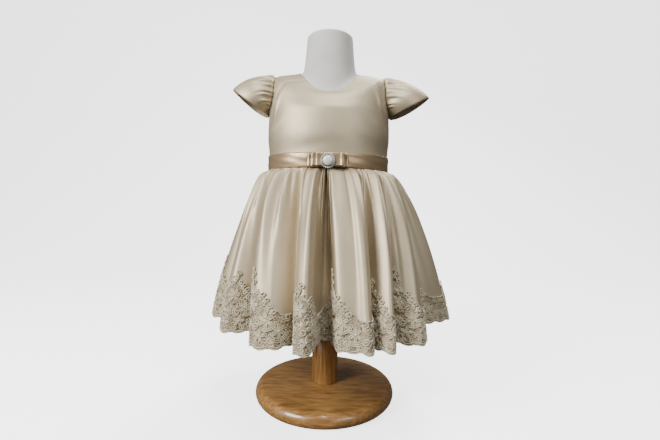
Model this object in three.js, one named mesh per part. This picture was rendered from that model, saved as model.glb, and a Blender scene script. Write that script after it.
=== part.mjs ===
import * as THREE from 'three';

// Christening gown on a limbless dress form.
// Millimetres, +Z up. The round base stands on the floor at Z = 0 and the front faces -Y.
// A bearing is measured in degrees from the front (-Y) toward the wearer's left (+X).

// Cloth walls and the small gaps between neighbouring pieces
const SATIN_WALL = 1.4;
const RIBBON_WALL = 1;
const LACE_WALL = 0.9;
const SEAM_GAP = 0.3;
const FORM_CLEARANCE = 0.95;

// Wooden stand
const BASE_RADIUS = 103;
const BASE_HEIGHT = 22;
const POST_RADIUS = 19.5;

// Torso sections from the hips to the top of the neck, as the outer face of close-fitting cloth.
// level: place along the torso (0 waist seam, 1 neckline); half: half width;
// front, back: depth from the axis; zFront, zSide, zBack: height of the section at each bearing
const TORSO = [
  { level: -0.5, half: 58, front: 44, back: 42, zFront: 262, zSide: 262, zBack: 262 },
  { level: -0.42, half: 80, front: 60, back: 56, zFront: 276, zSide: 276, zBack: 276 },
  { level: -0.25, half: 86.5, front: 64.5, back: 60, zFront: 304, zSide: 304, zBack: 304 },
  { level: 0, half: 87, front: 64.5, back: 60, zFront: 349.5, zSide: 349.5, zBack: 349.5 },
  { level: 0.1, half: 87.3, front: 65, back: 60.5, zFront: 361, zSide: 361, zBack: 361 },
  { level: 0.3, half: 89.3, front: 67, back: 62, zFront: 385, zSide: 385, zBack: 385 },
  { level: 0.55, half: 88, front: 64, back: 62.5, zFront: 416, zSide: 420, zBack: 420 },
  { level: 0.75, half: 86, front: 57.5, back: 58, zFront: 430, zSide: 452, zBack: 444 },
  { level: 0.88, half: 78, front: 52.5, back: 51, zFront: 438, zSide: 474, zBack: 461 },
  { level: 1, half: 43, front: 47, back: 42, zFront: 444, zSide: 481, zBack: 472 },
  { level: 1.08, half: 40, front: 41.5, back: 39, zFront: 456, zSide: 488, zBack: 480 },
  { level: 1.3, half: 38, front: 38, back: 37, zFront: 492, zSide: 504, zBack: 501 },
  { level: 1.6, half: 36.5, front: 36.5, back: 36, zFront: 520, zSide: 522, zBack: 522 },
  { level: 1.75, half: 35.5, front: 35.5, back: 35, zFront: 532, zSide: 532, zBack: 532 },
  { level: 1.8, half: 32, front: 32, back: 31.5, zFront: 536, zSide: 536, zBack: 536 },
];
const SIDE_RISE = 2.4;
const HIP_LEVELS = [-0.5, -0.46, -0.42, -0.32, -0.16];
const BODICE_LOW_LEVELS = [0, 0.1, 0.2, 0.3, 0.43];
const YOKE_LEVELS = [0.94, 1];
const FORM_COLUMNS = 24;
const FORM_CHEST_LEVELS = [0, 0.15, 0.3, 0.45, 0.57, 0.68, 0.77, 0.84, 0.89, 0.95, 1];
const NECK_LEVELS = [1.04, 1.1, 1.2, 1.35, 1.6, 1.75, 1.8];

// Bodice panels and the armhole cut into their side edges
const ARMHOLE_LOW = 0.55;
const ARMHOLE_TOP = 0.88;
const ARMHOLE_BITE = 22;
const ARMHOLE_BANDS = 7;
const FRONT_COLUMNS = 16;
const BACK_COLUMNS = 8;
const SEAM_BEARING = 0.2;

// Cap sleeves: a short underarm, a long top and a cuff that rises to the tip
const SLEEVES = [
  { name: 'sleeve_left', side: 1, reach: 57, tip: 448 },
  { name: 'sleeve_right', side: -1, reach: 52, tip: 455 },
];
const SLEEVE_LIFT = 0.5;
const SLEEVE_GATHERS = 13;
const SLEEVE_BANDS = 4;
const CUFF_START = 90;
const CUFF_LOW = 415;
const CUFF_DEPTH = 33;
const CUFF_RISE = 1.6;
const SLEEVE_PUFF = { out: 5, forward: 11, low: 2, top: 23 };
const SLEEVE_GATHER_DEPTH = 2.2;

// Skirt rows from the hem up to the waist seam.
// flare: share of the way from waist to hem; fold: share of the hem folds; gather: gather height
const SKIRT_ROWS = [
  { height: 124, flare: 1, fold: 1, gather: 0 },
  { height: 150, flare: 0.94, fold: 0.93, gather: 0 },
  { height: 180, flare: 0.85, fold: 0.83, gather: 0 },
  { height: 216, flare: 0.71, fold: 0.67, gather: 0.2 },
  { height: 254, flare: 0.55, fold: 0.48, gather: 0.9 },
  { height: 288, flare: 0.39, fold: 0.3, gather: 1.7 },
  { height: 316, flare: 0.22, fold: 0.13, gather: 2.2 },
  { height: 330, flare: 0.11, fold: 0.05, gather: 1.6 },
  { height: 338, flare: 0, fold: 0, gather: 0.4 },
  { height: 348.6, flare: 0, fold: 0, gather: 0.4 },
];
const HEM_HALF_WIDTH = 162;
const HEM_HALF_DEPTH = 148;
const PANEL_GATHERS = 20;
const PANEL_COLUMNS = 3 * PANEL_GATHERS;
const SKIRT_SEAM_BEARING = 0.09;

// Folds of the skirt, alternately a ridge and a valley.
// bearing: at the hem; waist: bearing at the waist seam; reach: distance of the hem from the axis
const FRONT_FOLDS = [
  { bearing: -90, waist: -90, reach: 170 },
  { bearing: -74, waist: -83, reach: 144 },
  { bearing: -51, waist: -73, reach: 158 },
  { bearing: -36, waist: -64, reach: 138 },
  { bearing: -28.5, waist: -54, reach: 165 },
  { bearing: -18, waist: -36, reach: 143 },
  { bearing: -10, waist: -15, reach: 168 },
  { bearing: 2, waist: 0, reach: 106 },
  { bearing: 16, waist: 21, reach: 165 },
  { bearing: 21.5, waist: 36, reach: 148 },
  { bearing: 26.5, waist: 46, reach: 173 },
  { bearing: 34, waist: 54, reach: 143 },
  { bearing: 42, waist: 64, reach: 172 },
  { bearing: 70, waist: 79, reach: 141 },
  { bearing: 90, waist: 90, reach: 183 },
];
const BACK_FOLDS = [
  { bearing: 90, waist: 90, reach: 183 },
  { bearing: 101, waist: 96, reach: 147 },
  { bearing: 113, waist: 106, reach: 169 },
  { bearing: 124, waist: 117, reach: 142 },
  { bearing: 135, waist: 128, reach: 166 },
  { bearing: 145, waist: 139, reach: 140 },
  { bearing: 156, waist: 151, reach: 164 },
  { bearing: 166, waist: 163, reach: 131 },
  { bearing: 177, waist: 176, reach: 163 },
  { bearing: 187, waist: 189, reach: 136 },
  { bearing: 198, waist: 202, reach: 166 },
  { bearing: 208, waist: 213, reach: 140 },
  { bearing: 220, waist: 227, reach: 163 },
  { bearing: 231, waist: 238, reach: 142 },
  { bearing: 244, waist: 251, reach: 168 },
  { bearing: 257, waist: 262, reach: 144 },
  { bearing: 270, waist: 270, reach: 170 },
];

// Lace border: repeats on each panel, with the windows and raised blossoms of one repeat
const LACE_REPEATS = 8;
const LACE_COLUMNS_PER_REPEAT = 15;
const LACE_BANDS = 4;
const LACE_LIFT = 0.6;
const LACE_VALLEY = 36;
const LACE_PEAK = 88;
const LACE_TAPER = 1.5;
const LACE_DROP = 2;
const SCALLOPS_PER_REPEAT = 5;
const SCALLOP_DEPTH = 3;
const LACE_RELIEF = 1;
const LACE_WINDOWS = [
  { column: 2, band: 1 },
  { column: 4, band: 2 },
  { column: 6, band: 1 },
  { column: 8, band: 1 },
  { column: 10, band: 2 },
  { column: 12, band: 1 },
];
const LACE_BLOSSOMS = [
  { line: 0, row: 1 },
  { line: 0, row: 2 },
  { line: 0, row: 3 },
  { line: 4, row: 1 },
  { line: 7, row: 2 },
  { line: 8, row: 2 },
  { line: 11, row: 1 },
];

// Ribbon sash and the two flat loops of the bow
const SASH_LOW = 338;
const SASH_HIGH = 358;
const SASH_LIFT = 1.9;
const SASH_COLUMNS = 48;
const BOW_COLUMNS = 28;
const BOW_LOOPS = [
  { name: 'bow_under', half: 27.5, low: 338.6, high: 356.4 },
  { name: 'bow_upper', half: 21, low: 339.4, high: 356.8 },
];
const BOW_PINCH = 2.8;
const BOW_FULLNESS = 1.8;
const BOW_GAP = 0.4;

// Oval brooch
const BROOCH_HEIGHT = 346;
const BROOCH_HALF_WIDTH = 9.8;
const BROOCH_HALF_HEIGHT = 10.6;
const BROOCH_THICKNESS = 2.2;
const BROOCH_STONES = 22;
const BROOCH_LOBE = 0.7;
const PEARL_RADIUS = 6.7;
const PEARL_DOME = 5;
const PEARL_SEAT = 1;

const MATERIALS = {
  satin: { color: 0xc8bca4, roughness: 0.38, metalness: 0 },
  ribbon: { color: 0xa98f6a, roughness: 0.34, metalness: 0 },
  lace: { color: 0xb9ad90, roughness: 0.75, metalness: 0 },
  cover: { color: 0xd9d7d0, roughness: 0.85, metalness: 0 },
  wood: { color: 0x9a6a34, roughness: 0.3, metalness: 0 },
  silver: { color: 0xc9cbcc, roughness: 0.2, metalness: 1 },
  pearl: { color: 0xe6e2d8, roughness: 0.18, metalness: 0 },
};

const { degToRad, lerp } = THREE.MathUtils;

/** Smooth value of one column of a table whose rows rise in key, without overshoot. */
function tableValue(rows, key, at, column) {
  const last = rows.length - 1;
  let i = 0;
  while (i < last - 1 && at > rows[i + 1][key]) {
    i += 1;
  }
  const step = (k) => rows[k + 1][key] - rows[k][key];
  const slope = (k) => (rows[k + 1][column] - rows[k][column]) / step(k);
  const tangent = (k) => {
    if (k === 0 || k === last) {
      return slope(Math.min(k, last - 1));
    }
    const before = slope(k - 1);
    const after = slope(k);
    return before * after > 0 ? (2 * before * after) / (before + after) : 0;
  };
  const span = step(i);
  const s = (at - rows[i][key]) / span;
  const ease = s * s * (3 - 2 * s);
  const leave = s * (1 - s) * (1 - s) * span * tangent(i);
  const arrive = s * s * (s - 1) * span * tangent(i + 1);
  return lerp(rows[i][column], rows[i + 1][column], ease) + leave + arrive;
}

/** Distance from the axis to an oval, with its own depth in front and behind. */
function ovalRadius(bearing, half, front, back) {
  const across = Math.sin(degToRad(bearing));
  const ahead = Math.cos(degToRad(bearing));
  const depth = ahead >= 0 ? front : back;
  return 1 / Math.hypot(across / half, ahead / depth);
}

/** Point at a bearing, a distance from the axis and a height. */
function polarPoint(bearing, reach, height) {
  const angle = degToRad(bearing);
  return new THREE.Vector3(reach * Math.sin(angle), -reach * Math.cos(angle), height);
}

/** Point of the torso at a bearing of its oval section and a level. */
function torsoPoint(bearing, level) {
  const across = Math.sin(degToRad(bearing));
  const ahead = Math.cos(degToRad(bearing));
  const value = (column) => tableValue(TORSO, 'level', level, column);
  const depth = ahead >= 0 ? value('front') : value('back');
  const facing = ahead >= 0 ? value('zFront') : value('zBack');
  const height = lerp(facing, value('zSide'), Math.abs(across) ** SIDE_RISE);
  return new THREE.Vector3(value('half') * across, -depth * ahead, height);
}

/** Outward direction of the torso. */
function torsoNormal(bearing, level) {
  const across = torsoPoint(bearing + 0.5, level).sub(torsoPoint(bearing - 0.5, level));
  const along = torsoPoint(bearing, level + 0.005).sub(torsoPoint(bearing, level - 0.005));
  return across.cross(along).normalize();
}

/** Grid of points whose columns run to the right and rows run up, seen from outside. */
function faceGrid(columns, rows, closed, pointAt) {
  const lines = closed ? columns : columns + 1;
  const points = Array.from({ length: rows + 1 }, (_, row) => (
    Array.from({ length: lines }, (__, line) => pointAt(line, row))
  ));
  return { points, closed };
}

/** Direction of a run of points at one of them, curved at a loose end. */
function slopeAt(run, i, closed) {
  const count = run.length;
  if (closed) {
    return run[(i + 1) % count].clone().sub(run[(i + count - 1) % count]);
  }
  if (i > 0 && i < count - 1) {
    return run[i + 1].clone().sub(run[i - 1]);
  }
  const inward = i === 0 ? 1 : -1;
  const next = run[i + inward].clone().sub(run[i]);
  const bend = count > 2 ? run[i + 2 * inward].clone().sub(run[i + inward]).sub(next) : new THREE.Vector3();
  return next.addScaledVector(bend, -0.5).multiplyScalar(inward);
}

/** Outward normals at the points of a grid. */
function gridNormals({ points, closed }) {
  return points.map((rowPoints, row) => rowPoints.map((_, line) => {
    const column = points.map((each) => each[line]);
    return slopeAt(rowPoints, line, closed).cross(slopeAt(column, row, false)).normalize();
  }));
}

/** The grid moved along its normals; a loose end moves straight out from the axis. */
function movedGrid(grid, distanceAt) {
  const normals = gridNormals(grid);
  const ends = grid.closed ? [] : [0, grid.points[0].length - 1];
  normals.forEach((rowNormals, row) => ends.forEach((line) => {
    const { x, y } = grid.points[row][line];
    const along = new THREE.Vector3(-y, x, 0).normalize();
    rowNormals[line].addScaledVector(along, -rowNormals[line].dot(along)).normalize();
  }));
  const points = grid.points.map((rowPoints, row) => rowPoints.map((point, line) => (
    point.clone().addScaledVector(normals[row][line], distanceAt(line, row))
  )));
  return { points, closed: grid.closed };
}

/** Triangles of a list of points as a geometry. */
function meshGeometry(points, faces) {
  const geometry = new THREE.BufferGeometry();
  geometry.setFromPoints(points);
  geometry.setIndex(faces);
  geometry.computeVertexNormals();
  return geometry;
}

/** Closed wall between an outer and an inner grid; gap cells are left open through the wall. */
function wallGeometry(outer, inner, isGap = () => false) {
  const lines = outer.points[0].length;
  const bands = outer.points.length - 1;
  const columns = outer.closed ? lines : lines - 1;
  const points = [...outer.points.flat(), ...inner.points.flat()];
  const inward = lines * (bands + 1);
  const corner = (line, row) => row * lines + (outer.closed ? (line + lines) % lines : line);
  const isCloth = (column, band) => {
    const wrapped = outer.closed ? (column + columns) % columns : column;
    return wrapped >= 0 && wrapped < columns && band >= 0 && band < bands && !isGap(wrapped, band);
  };
  const faces = [];
  for (let band = 0; band < bands; band += 1) {
    for (let column = 0; column < columns; column += 1) {
      if (!isCloth(column, band)) {
        continue;
      }
      const a = corner(column, band);
      const b = corner(column + 1, band);
      const c = corner(column + 1, band + 1);
      const d = corner(column, band + 1);
      faces.push(a, b, c, a, c, d);
      faces.push(inward + a, inward + c, inward + b, inward + a, inward + d, inward + c);
      const edges = [
        { from: a, to: b, beyond: isCloth(column, band - 1) },
        { from: b, to: c, beyond: isCloth(column + 1, band) },
        { from: c, to: d, beyond: isCloth(column, band + 1) },
        { from: d, to: a, beyond: isCloth(column - 1, band) },
      ];
      edges.filter((edge) => !edge.beyond).forEach(({ from, to }) => {
        faces.push(to, from, inward + from, to, inward + from, inward + to);
      });
    }
  }
  return meshGeometry(points, faces);
}

/** Cloth wall of even thickness behind an outer face. */
function clothGeometry(outer, thickness) {
  return wallGeometry(outer, movedGrid(outer, () => -thickness));
}

/** Solid body through the rings of a closed grid, capped at both ends. */
function loftGeometry(grid) {
  const lines = grid.points[0].length;
  const top = grid.points.length - 1;
  const points = grid.points.flat();
  const faces = [];
  for (let row = 0; row < top; row += 1) {
    for (let line = 0; line < lines; line += 1) {
      const next = (line + 1) % lines;
      const a = row * lines + line;
      const b = row * lines + next;
      faces.push(a, b, b + lines, a, b + lines, a + lines);
    }
  }
  [0, top].forEach((row) => {
    const centre = points.length;
    const ring = grid.points[row];
    points.push(ring.reduce((sum, point) => sum.add(point), new THREE.Vector3()).divideScalar(lines));
    for (let line = 0; line < lines; line += 1) {
      const here = row * lines + line;
      const next = row * lines + ((line + 1) % lines);
      faces.push(centre, ...(row === 0 ? [next, here] : [here, next]));
    }
  });
  return meshGeometry(points, faces);
}

const gown = new THREE.Group();
gown.name = 'christening_gown';

/** Adds one named piece to the gown. */
function addPiece(name, geometry, look) {
  const mesh = new THREE.Mesh(geometry, new THREE.MeshStandardMaterial(MATERIALS[look]));
  mesh.name = name;
  gown.add(mesh);
  return mesh;
}

// Bodice: front panel and two back panels that meet at the centre back
const armholeSpan = ARMHOLE_TOP - ARMHOLE_LOW;
const armholeLevels = Array.from({ length: ARMHOLE_BANDS + 1 }, (_, i) => (
  ARMHOLE_LOW + (armholeSpan * (1 - Math.cos((Math.PI * i) / ARMHOLE_BANDS))) / 2
));
const bodiceLevels = [...BODICE_LOW_LEVELS, ...armholeLevels, ...YOKE_LEVELS];

/** How far the armhole bites into a panel's side edge, in degrees. */
function armholeBite(level) {
  const rise = THREE.MathUtils.clamp((level - ARMHOLE_LOW) / armholeSpan, 0, 1);
  return ARMHOLE_BITE * 2 * Math.sqrt(rise * (1 - rise));
}

/** Panel of the bodice between two edges, each a bearing at a level. */
function bodicePanel(columns, startAt, endAt) {
  const faceAt = (depth) => faceGrid(columns, bodiceLevels.length - 1, false, (line, row) => {
    const level = bodiceLevels[row];
    const bearing = lerp(startAt(level), endAt(level), line / columns);
    return torsoPoint(bearing, level).addScaledVector(torsoNormal(bearing, level), -depth);
  });
  return wallGeometry(faceAt(0), faceAt(SATIN_WALL));
}

const frontEdge = (level) => 90 - SEAM_BEARING - armholeBite(level);
const backEdge = (level) => 90 + SEAM_BEARING + armholeBite(level);
const centreBack = 180 - SEAM_BEARING;
const bodicePanels = {
  bodice_front: bodicePanel(FRONT_COLUMNS, (level) => -frontEdge(level), frontEdge),
  bodice_back_left: bodicePanel(BACK_COLUMNS, backEdge, () => centreBack),
  bodice_back_right: bodicePanel(BACK_COLUMNS, () => -centreBack, (level) => -backEdge(level)),
};
Object.entries(bodicePanels).forEach(([name, panel]) => {
  addPiece(name, panel, 'satin');
});

// Cap sleeves: each a short tube from the armhole to the cuff, longest over the shoulder
function sleevePoint(sleeve, turn, share) {
  const { side, reach, tip } = sleeve;
  const lift = (1 - Math.cos(2 * Math.PI * turn)) / 2;
  const around = Math.sin(2 * Math.PI * turn);
  const level = ARMHOLE_LOW + armholeSpan * lift;
  const bearing = side * (90 + side * ARMHOLE_BITE * around);
  const seam = torsoPoint(bearing, level)
    .addScaledVector(torsoNormal(bearing, level), SLEEVE_LIFT);
  const cuff = new THREE.Vector3(
    side * (CUFF_START + reach * lift),
    side * CUFF_DEPTH * around,
    lerp(CUFF_LOW, tip, lift ** CUFF_RISE),
  );
  const puff = new THREE.Vector3(
    side * SLEEVE_PUFF.out * lift,
    side * SLEEVE_PUFF.forward * around,
    lerp(SLEEVE_PUFF.low, SLEEVE_PUFF.top, lift),
  );
  const crown = seam.clone().add(cuff).multiplyScalar(0.5).add(puff);
  const gatherShare = lift * (0.15 + 3.4 * share * Math.exp(-4 * share));
  const gatherWave = (1 + Math.cos(2 * Math.PI * SLEEVE_GATHERS * turn)) / 2;
  const outward = new THREE.Vector3(0, side * around, -Math.cos(2 * Math.PI * turn));
  return new THREE.QuadraticBezierCurve3(seam, crown, cuff).getPoint(share)
    .addScaledVector(outward, SLEEVE_GATHER_DEPTH * gatherShare * gatherWave);
}

SLEEVES.forEach((sleeve) => {
  const columns = 3 * SLEEVE_GATHERS;
  const outer = faceGrid(columns, SLEEVE_BANDS, true, (line, row) => (
    sleevePoint(sleeve, line / columns, row / SLEEVE_BANDS)
  ));
  addPiece(sleeve.name, clothGeometry(outer, SATIN_WALL), 'satin');
});

// Gathered skirt: two panels joined at the side seams
const waist = TORSO.find((section) => section.level === 0);
const waistReach = (bearing) => ovalRadius(bearing, waist.half, waist.front, waist.back);
const meanHem = (bearing) => ovalRadius(bearing, HEM_HALF_WIDTH, HEM_HALF_DEPTH, HEM_HALF_DEPTH);

/** Distance from the axis to the folded hem. */
function hemReach(folds, bearing) {
  const next = folds.findIndex((fold, i) => i > 0 && bearing <= fold.bearing);
  const to = folds[next < 0 ? folds.length - 1 : next];
  const from = folds[(next < 0 ? folds.length - 1 : next) - 1];
  const share = (bearing - from.bearing) / (to.bearing - from.bearing);
  return lerp(from.reach, to.reach, (1 - Math.cos(Math.PI * share)) / 2);
}

/** Bearings that share the hem's cloth evenly between the columns of a panel. */
function evenBearings(folds, columns) {
  const steps = 1440;
  const start = folds[0].bearing + SKIRT_SEAM_BEARING;
  const end = folds[folds.length - 1].bearing - SKIRT_SEAM_BEARING;
  const bearingAt = (i) => lerp(start, end, i / steps);
  const lengths = [0];
  for (let i = 1; i <= steps; i += 1) {
    const here = polarPoint(bearingAt(i), hemReach(folds, bearingAt(i)), 0);
    const before = polarPoint(bearingAt(i - 1), hemReach(folds, bearingAt(i - 1)), 0);
    lengths.push(lengths[i - 1] + here.distanceTo(before));
  }
  return Array.from({ length: columns + 1 }, (_, column) => {
    const wanted = (lengths[steps] * column) / columns;
    const i = lengths.findIndex((length) => length >= wanted - 1e-9);
    return bearingAt(i);
  });
}

/** Outer face of a skirt panel. */
function skirtFace(folds) {
  const bearings = evenBearings(folds, PANEL_COLUMNS);
  return faceGrid(PANEL_COLUMNS, SKIRT_ROWS.length - 1, false, (line, row) => {
    const { height, flare, fold, gather } = SKIRT_ROWS[row];
    const hemBearing = bearings[line];
    const bearing = lerp(tableValue(folds, 'bearing', hemBearing, 'waist'), hemBearing, flare);
    const wave = (1 + Math.cos((2 * Math.PI * PANEL_GATHERS * line) / PANEL_COLUMNS)) / 2;
    const reach = lerp(waistReach(bearing), meanHem(bearing), flare)
      + fold * (hemReach(folds, hemBearing) - meanHem(hemBearing))
      + gather * wave;
    return polarPoint(bearing, reach, height);
  });
}

// Lace border, laid on the faces of the skirt panels
const laceColumns = LACE_REPEATS * LACE_COLUMNS_PER_REPEAT;
const linesPerColumn = laceColumns / PANEL_COLUMNS;

/** Place on a skirt column at a height, on the straight edge between two rows or past the hem. */
function onSkirtLine(points, line, height) {
  let row = 0;
  while (row < SKIRT_ROWS.length - 2 && height > SKIRT_ROWS[row + 1].height) {
    row += 1;
  }
  const low = SKIRT_ROWS[row].height;
  const share = (height - low) / (SKIRT_ROWS[row + 1].height - low);
  return points[row][line].clone().lerp(points[row + 1][line], share);
}

/** Face of the skirt under the lace: peaked above and scalloped below. */
function laceFace(skirt) {
  return faceGrid(laceColumns, LACE_BANDS, false, (line, row) => {
    const phase = (line / LACE_COLUMNS_PER_REPEAT) % 1;
    const peak = Math.abs(2 * phase - 1) ** LACE_TAPER;
    const scallop = Math.abs(Math.sin(Math.PI * SCALLOPS_PER_REPEAT * phase));
    const hem = SKIRT_ROWS[0].height;
    const low = hem + LACE_DROP - SCALLOP_DEPTH * scallop;
    const high = hem + lerp(LACE_VALLEY, LACE_PEAK, peak);
    const height = lerp(low, high, row / LACE_BANDS);
    const before = Math.floor(line / linesPerColumn);
    const after = Math.min(before + 1, PANEL_COLUMNS);
    const share = line / linesPerColumn - before;
    return onSkirtLine(skirt.points, before, height)
      .lerp(onSkirtLine(skirt.points, after, height), share);
  });
}

const isWindow = (column, band) => LACE_WINDOWS.some((window) => (
  window.column === column % LACE_COLUMNS_PER_REPEAT && window.band === band
));

/** Extra thickness of the lace at a blossom. */
function laceRelief(line, row) {
  const isBlossom = LACE_BLOSSOMS.some((blossom) => (
    blossom.line === line % LACE_COLUMNS_PER_REPEAT && blossom.row === row
  ));
  return isBlossom ? LACE_RELIEF : 0;
}

const skirtPanels = { front: FRONT_FOLDS, back: BACK_FOLDS };
Object.entries(skirtPanels).forEach(([place, folds]) => {
  const skirt = skirtFace(folds);
  addPiece(`skirt_${place}`, clothGeometry(skirt, SATIN_WALL), 'satin');
  const under = laceFace(skirt);
  const inner = movedGrid(under, () => LACE_LIFT);
  const outer = movedGrid(under, (line, row) => LACE_LIFT + LACE_WALL + laceRelief(line, row));
  addPiece(`lace_${place}`, wallGeometry(outer, inner, isWindow), 'lace');
});

// Ribbon sash over the waist seam, its ends meeting at the centre back
const sashReach = (bearing) => waistReach(bearing) + SASH_LIFT;
const sash = faceGrid(SASH_COLUMNS, 1, false, (line, row) => {
  const bearing = lerp(-centreBack, centreBack, line / SASH_COLUMNS);
  return polarPoint(bearing, sashReach(bearing), row === 0 ? SASH_LOW : SASH_HIGH);
});
addPiece('sash_ribbon', clothGeometry(sash, RIBBON_WALL), 'ribbon');

// Flat bow: each loop is a band folded back on itself and pinched under the brooch
const sashHalf = waist.half + SASH_LIFT;
const sashFront = (x) => (waist.front + SASH_LIFT) * Math.sqrt(1 - (x / sashHalf) ** 2);
const loopDepth = (x, half) => BOW_PINCH + BOW_FULLNESS * Math.min(1, (x / half) ** 2);

let bowStart = () => BOW_GAP;
BOW_LOOPS.forEach(({ name, half, low, high }) => {
  const behind = bowStart;
  const loop = faceGrid(BOW_COLUMNS, 1, true, (line, row) => {
    const turn = (2 * Math.PI * line) / BOW_COLUMNS;
    const x = -half * Math.sign(Math.cos(turn)) * Math.abs(Math.cos(turn)) ** 0.75;
    const swell = Math.sign(Math.sin(turn)) * Math.abs(Math.sin(turn)) ** 0.6;
    const depth = behind(x) + (loopDepth(x, half) * (1 + swell)) / 2;
    return new THREE.Vector3(x, -sashFront(x) - depth, row === 0 ? low : high);
  });
  addPiece(name, clothGeometry(loop, RIBBON_WALL), 'ribbon');
  bowStart = (x) => behind(x) + loopDepth(x, half) + BOW_GAP;
});

// Brooch: lobed oval setting with a domed pearl, facing the front
const settingShape = new THREE.Shape(Array.from({ length: 3 * BROOCH_STONES }, (_, i) => {
  const angle = (2 * Math.PI * i) / (3 * BROOCH_STONES);
  const lobe = BROOCH_LOBE * (1 - Math.cos(angle * BROOCH_STONES)) / 2;
  return new THREE.Vector2(
    (BROOCH_HALF_WIDTH - lobe) * Math.cos(angle),
    (BROOCH_HALF_HEIGHT - lobe) * Math.sin(angle),
  );
}));
const setting = new THREE.ExtrudeGeometry(settingShape, { depth: BROOCH_THICKNESS, bevelEnabled: false });
const brooch = new THREE.Group();
brooch.position.set(0, -sashFront(0) - bowStart(0), BROOCH_HEIGHT);
brooch.rotation.x = Math.PI / 2;
brooch.add(addPiece('brooch_setting', setting, 'silver'));

const pearlProfile = [new THREE.Vector2(0, 0), new THREE.Vector2(PEARL_RADIUS - 0.4, 0)];
const domeSteps = 4;
for (let i = 0; i <= domeSteps; i += 1) {
  const angle = (Math.PI * i) / (2 * domeSteps);
  pearlProfile.push(new THREE.Vector2(
    PEARL_RADIUS * Math.cos(angle),
    PEARL_SEAT + PEARL_DOME * Math.sin(angle),
  ));
}
const pearl = addPiece('brooch_pearl', new THREE.LatheGeometry(pearlProfile, 20), 'pearl');
pearl.position.z = BROOCH_THICKNESS + SEAM_GAP;
pearl.rotation.x = Math.PI / 2;
brooch.add(pearl);
gown.add(brooch);

// Dress form: smooth torso with a neck, just inside the cloth
const formLevels = [...HIP_LEVELS, ...FORM_CHEST_LEVELS, ...NECK_LEVELS];
const torsoFace = faceGrid(FORM_COLUMNS, formLevels.length - 1, true, (line, row) => (
  torsoPoint(-90 + (360 * line) / FORM_COLUMNS, formLevels[row])
));
const form = movedGrid(torsoFace, () => -SATIN_WALL - FORM_CLEARANCE);
addPiece('form_torso', loftGeometry(form), 'cover');

// Turned wooden post and round base
const formBottom = Math.min(...form.points[0].map((point) => point.z));
const postHeight = formBottom - BASE_HEIGHT - 2 * SEAM_GAP;
const postGeometry = new THREE.CylinderGeometry(POST_RADIUS, POST_RADIUS, postHeight, 32);
const post = addPiece('form_post', postGeometry, 'wood');
post.rotation.x = Math.PI / 2;
post.position.z = BASE_HEIGHT + SEAM_GAP + postHeight / 2;

const edgeRadius = BASE_HEIGHT / 2;
const edgeSteps = 6;
const baseProfile = [new THREE.Vector2(0, 0)];
for (let i = 0; i <= edgeSteps; i += 1) {
  const angle = Math.PI * (i / edgeSteps - 0.5);
  baseProfile.push(new THREE.Vector2(
    BASE_RADIUS - edgeRadius + edgeRadius * Math.cos(angle),
    edgeRadius + edgeRadius * Math.sin(angle),
  ));
}
baseProfile.push(new THREE.Vector2(0, BASE_HEIGHT));
const base = addPiece('form_base', new THREE.LatheGeometry(baseProfile, 40), 'wood');
base.rotation.x = Math.PI / 2;

export default gown;
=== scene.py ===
# %% [markdown]
# A christening gown stands on a limbless dress form with a turned wooden stand.
# The imported solids give every piece its size and place. This lesson dresses them: each cloth piece
# becomes a fine sheet on the same form, and the lace, brooch and wood get their detail and finish.
# Loading the frame first keeps its parts, so their boxes can give sizes and places below.

# %% Load the frame
import math
import random
from collections import namedtuple
from functools import lru_cache

import bmesh
import bpy
import numpy as np
from mathutils import Matrix, Vector


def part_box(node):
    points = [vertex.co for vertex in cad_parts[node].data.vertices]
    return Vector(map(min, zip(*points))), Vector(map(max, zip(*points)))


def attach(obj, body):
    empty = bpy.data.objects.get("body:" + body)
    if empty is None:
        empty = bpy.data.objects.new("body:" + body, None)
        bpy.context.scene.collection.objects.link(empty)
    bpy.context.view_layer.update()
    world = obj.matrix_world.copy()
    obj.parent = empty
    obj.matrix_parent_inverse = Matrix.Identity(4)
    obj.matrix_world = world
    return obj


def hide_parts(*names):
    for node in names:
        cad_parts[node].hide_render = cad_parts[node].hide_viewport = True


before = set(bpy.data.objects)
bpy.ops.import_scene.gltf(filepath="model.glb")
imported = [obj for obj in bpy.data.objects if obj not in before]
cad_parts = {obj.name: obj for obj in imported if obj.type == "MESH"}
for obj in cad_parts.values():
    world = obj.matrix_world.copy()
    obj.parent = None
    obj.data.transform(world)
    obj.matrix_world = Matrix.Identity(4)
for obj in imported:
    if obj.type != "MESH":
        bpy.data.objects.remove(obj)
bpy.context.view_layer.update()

print("nodes in the frame:", sorted(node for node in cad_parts))

# %% [markdown]
# Tailors think in millimetres and Blender in metres, so the sizes below are millimetres and each mesh
# is brought to metres as it is made. A bearing is in degrees from the front (-Y) toward +X.
# A table row is a named tuple, and a smooth curve through its rows that never overshoots
# gives every value between them.

# %% Smooth tables
MM = 0.001


def lerp(start, end, share):
    return start + (end - start) * share


def smooth_value(rows, key, at, column):
    """Value of a column where the key column is at, on a curve that does not overshoot its rows."""
    keys = [getattr(row, key) for row in rows]
    values = [getattr(row, column) for row in rows]
    last = len(rows) - 1
    i = 0
    while i < last - 1 and at > keys[i + 1]:
        i += 1

    def slope(k):
        return (values[k + 1] - values[k]) / (keys[k + 1] - keys[k])

    def tangent(k):
        if k in (0, last):
            return slope(min(k, last - 1))
        before, after = slope(k - 1), slope(k)
        return 2 * before * after / (before + after) if before * after > 0 else 0

    span = keys[i + 1] - keys[i]
    s = (at - keys[i]) / span
    leave = s * (1 - s) ** 2 * span * tangent(i)
    arrive = s * s * (s - 1) * span * tangent(i + 1)
    return lerp(values[i], values[i + 1], s * s * (3 - 2 * s)) + leave + arrive


def polar(bearing, reach, height):
    angle = math.radians(bearing)
    return Vector((reach * math.sin(angle), -reach * math.cos(angle), height))


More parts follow.
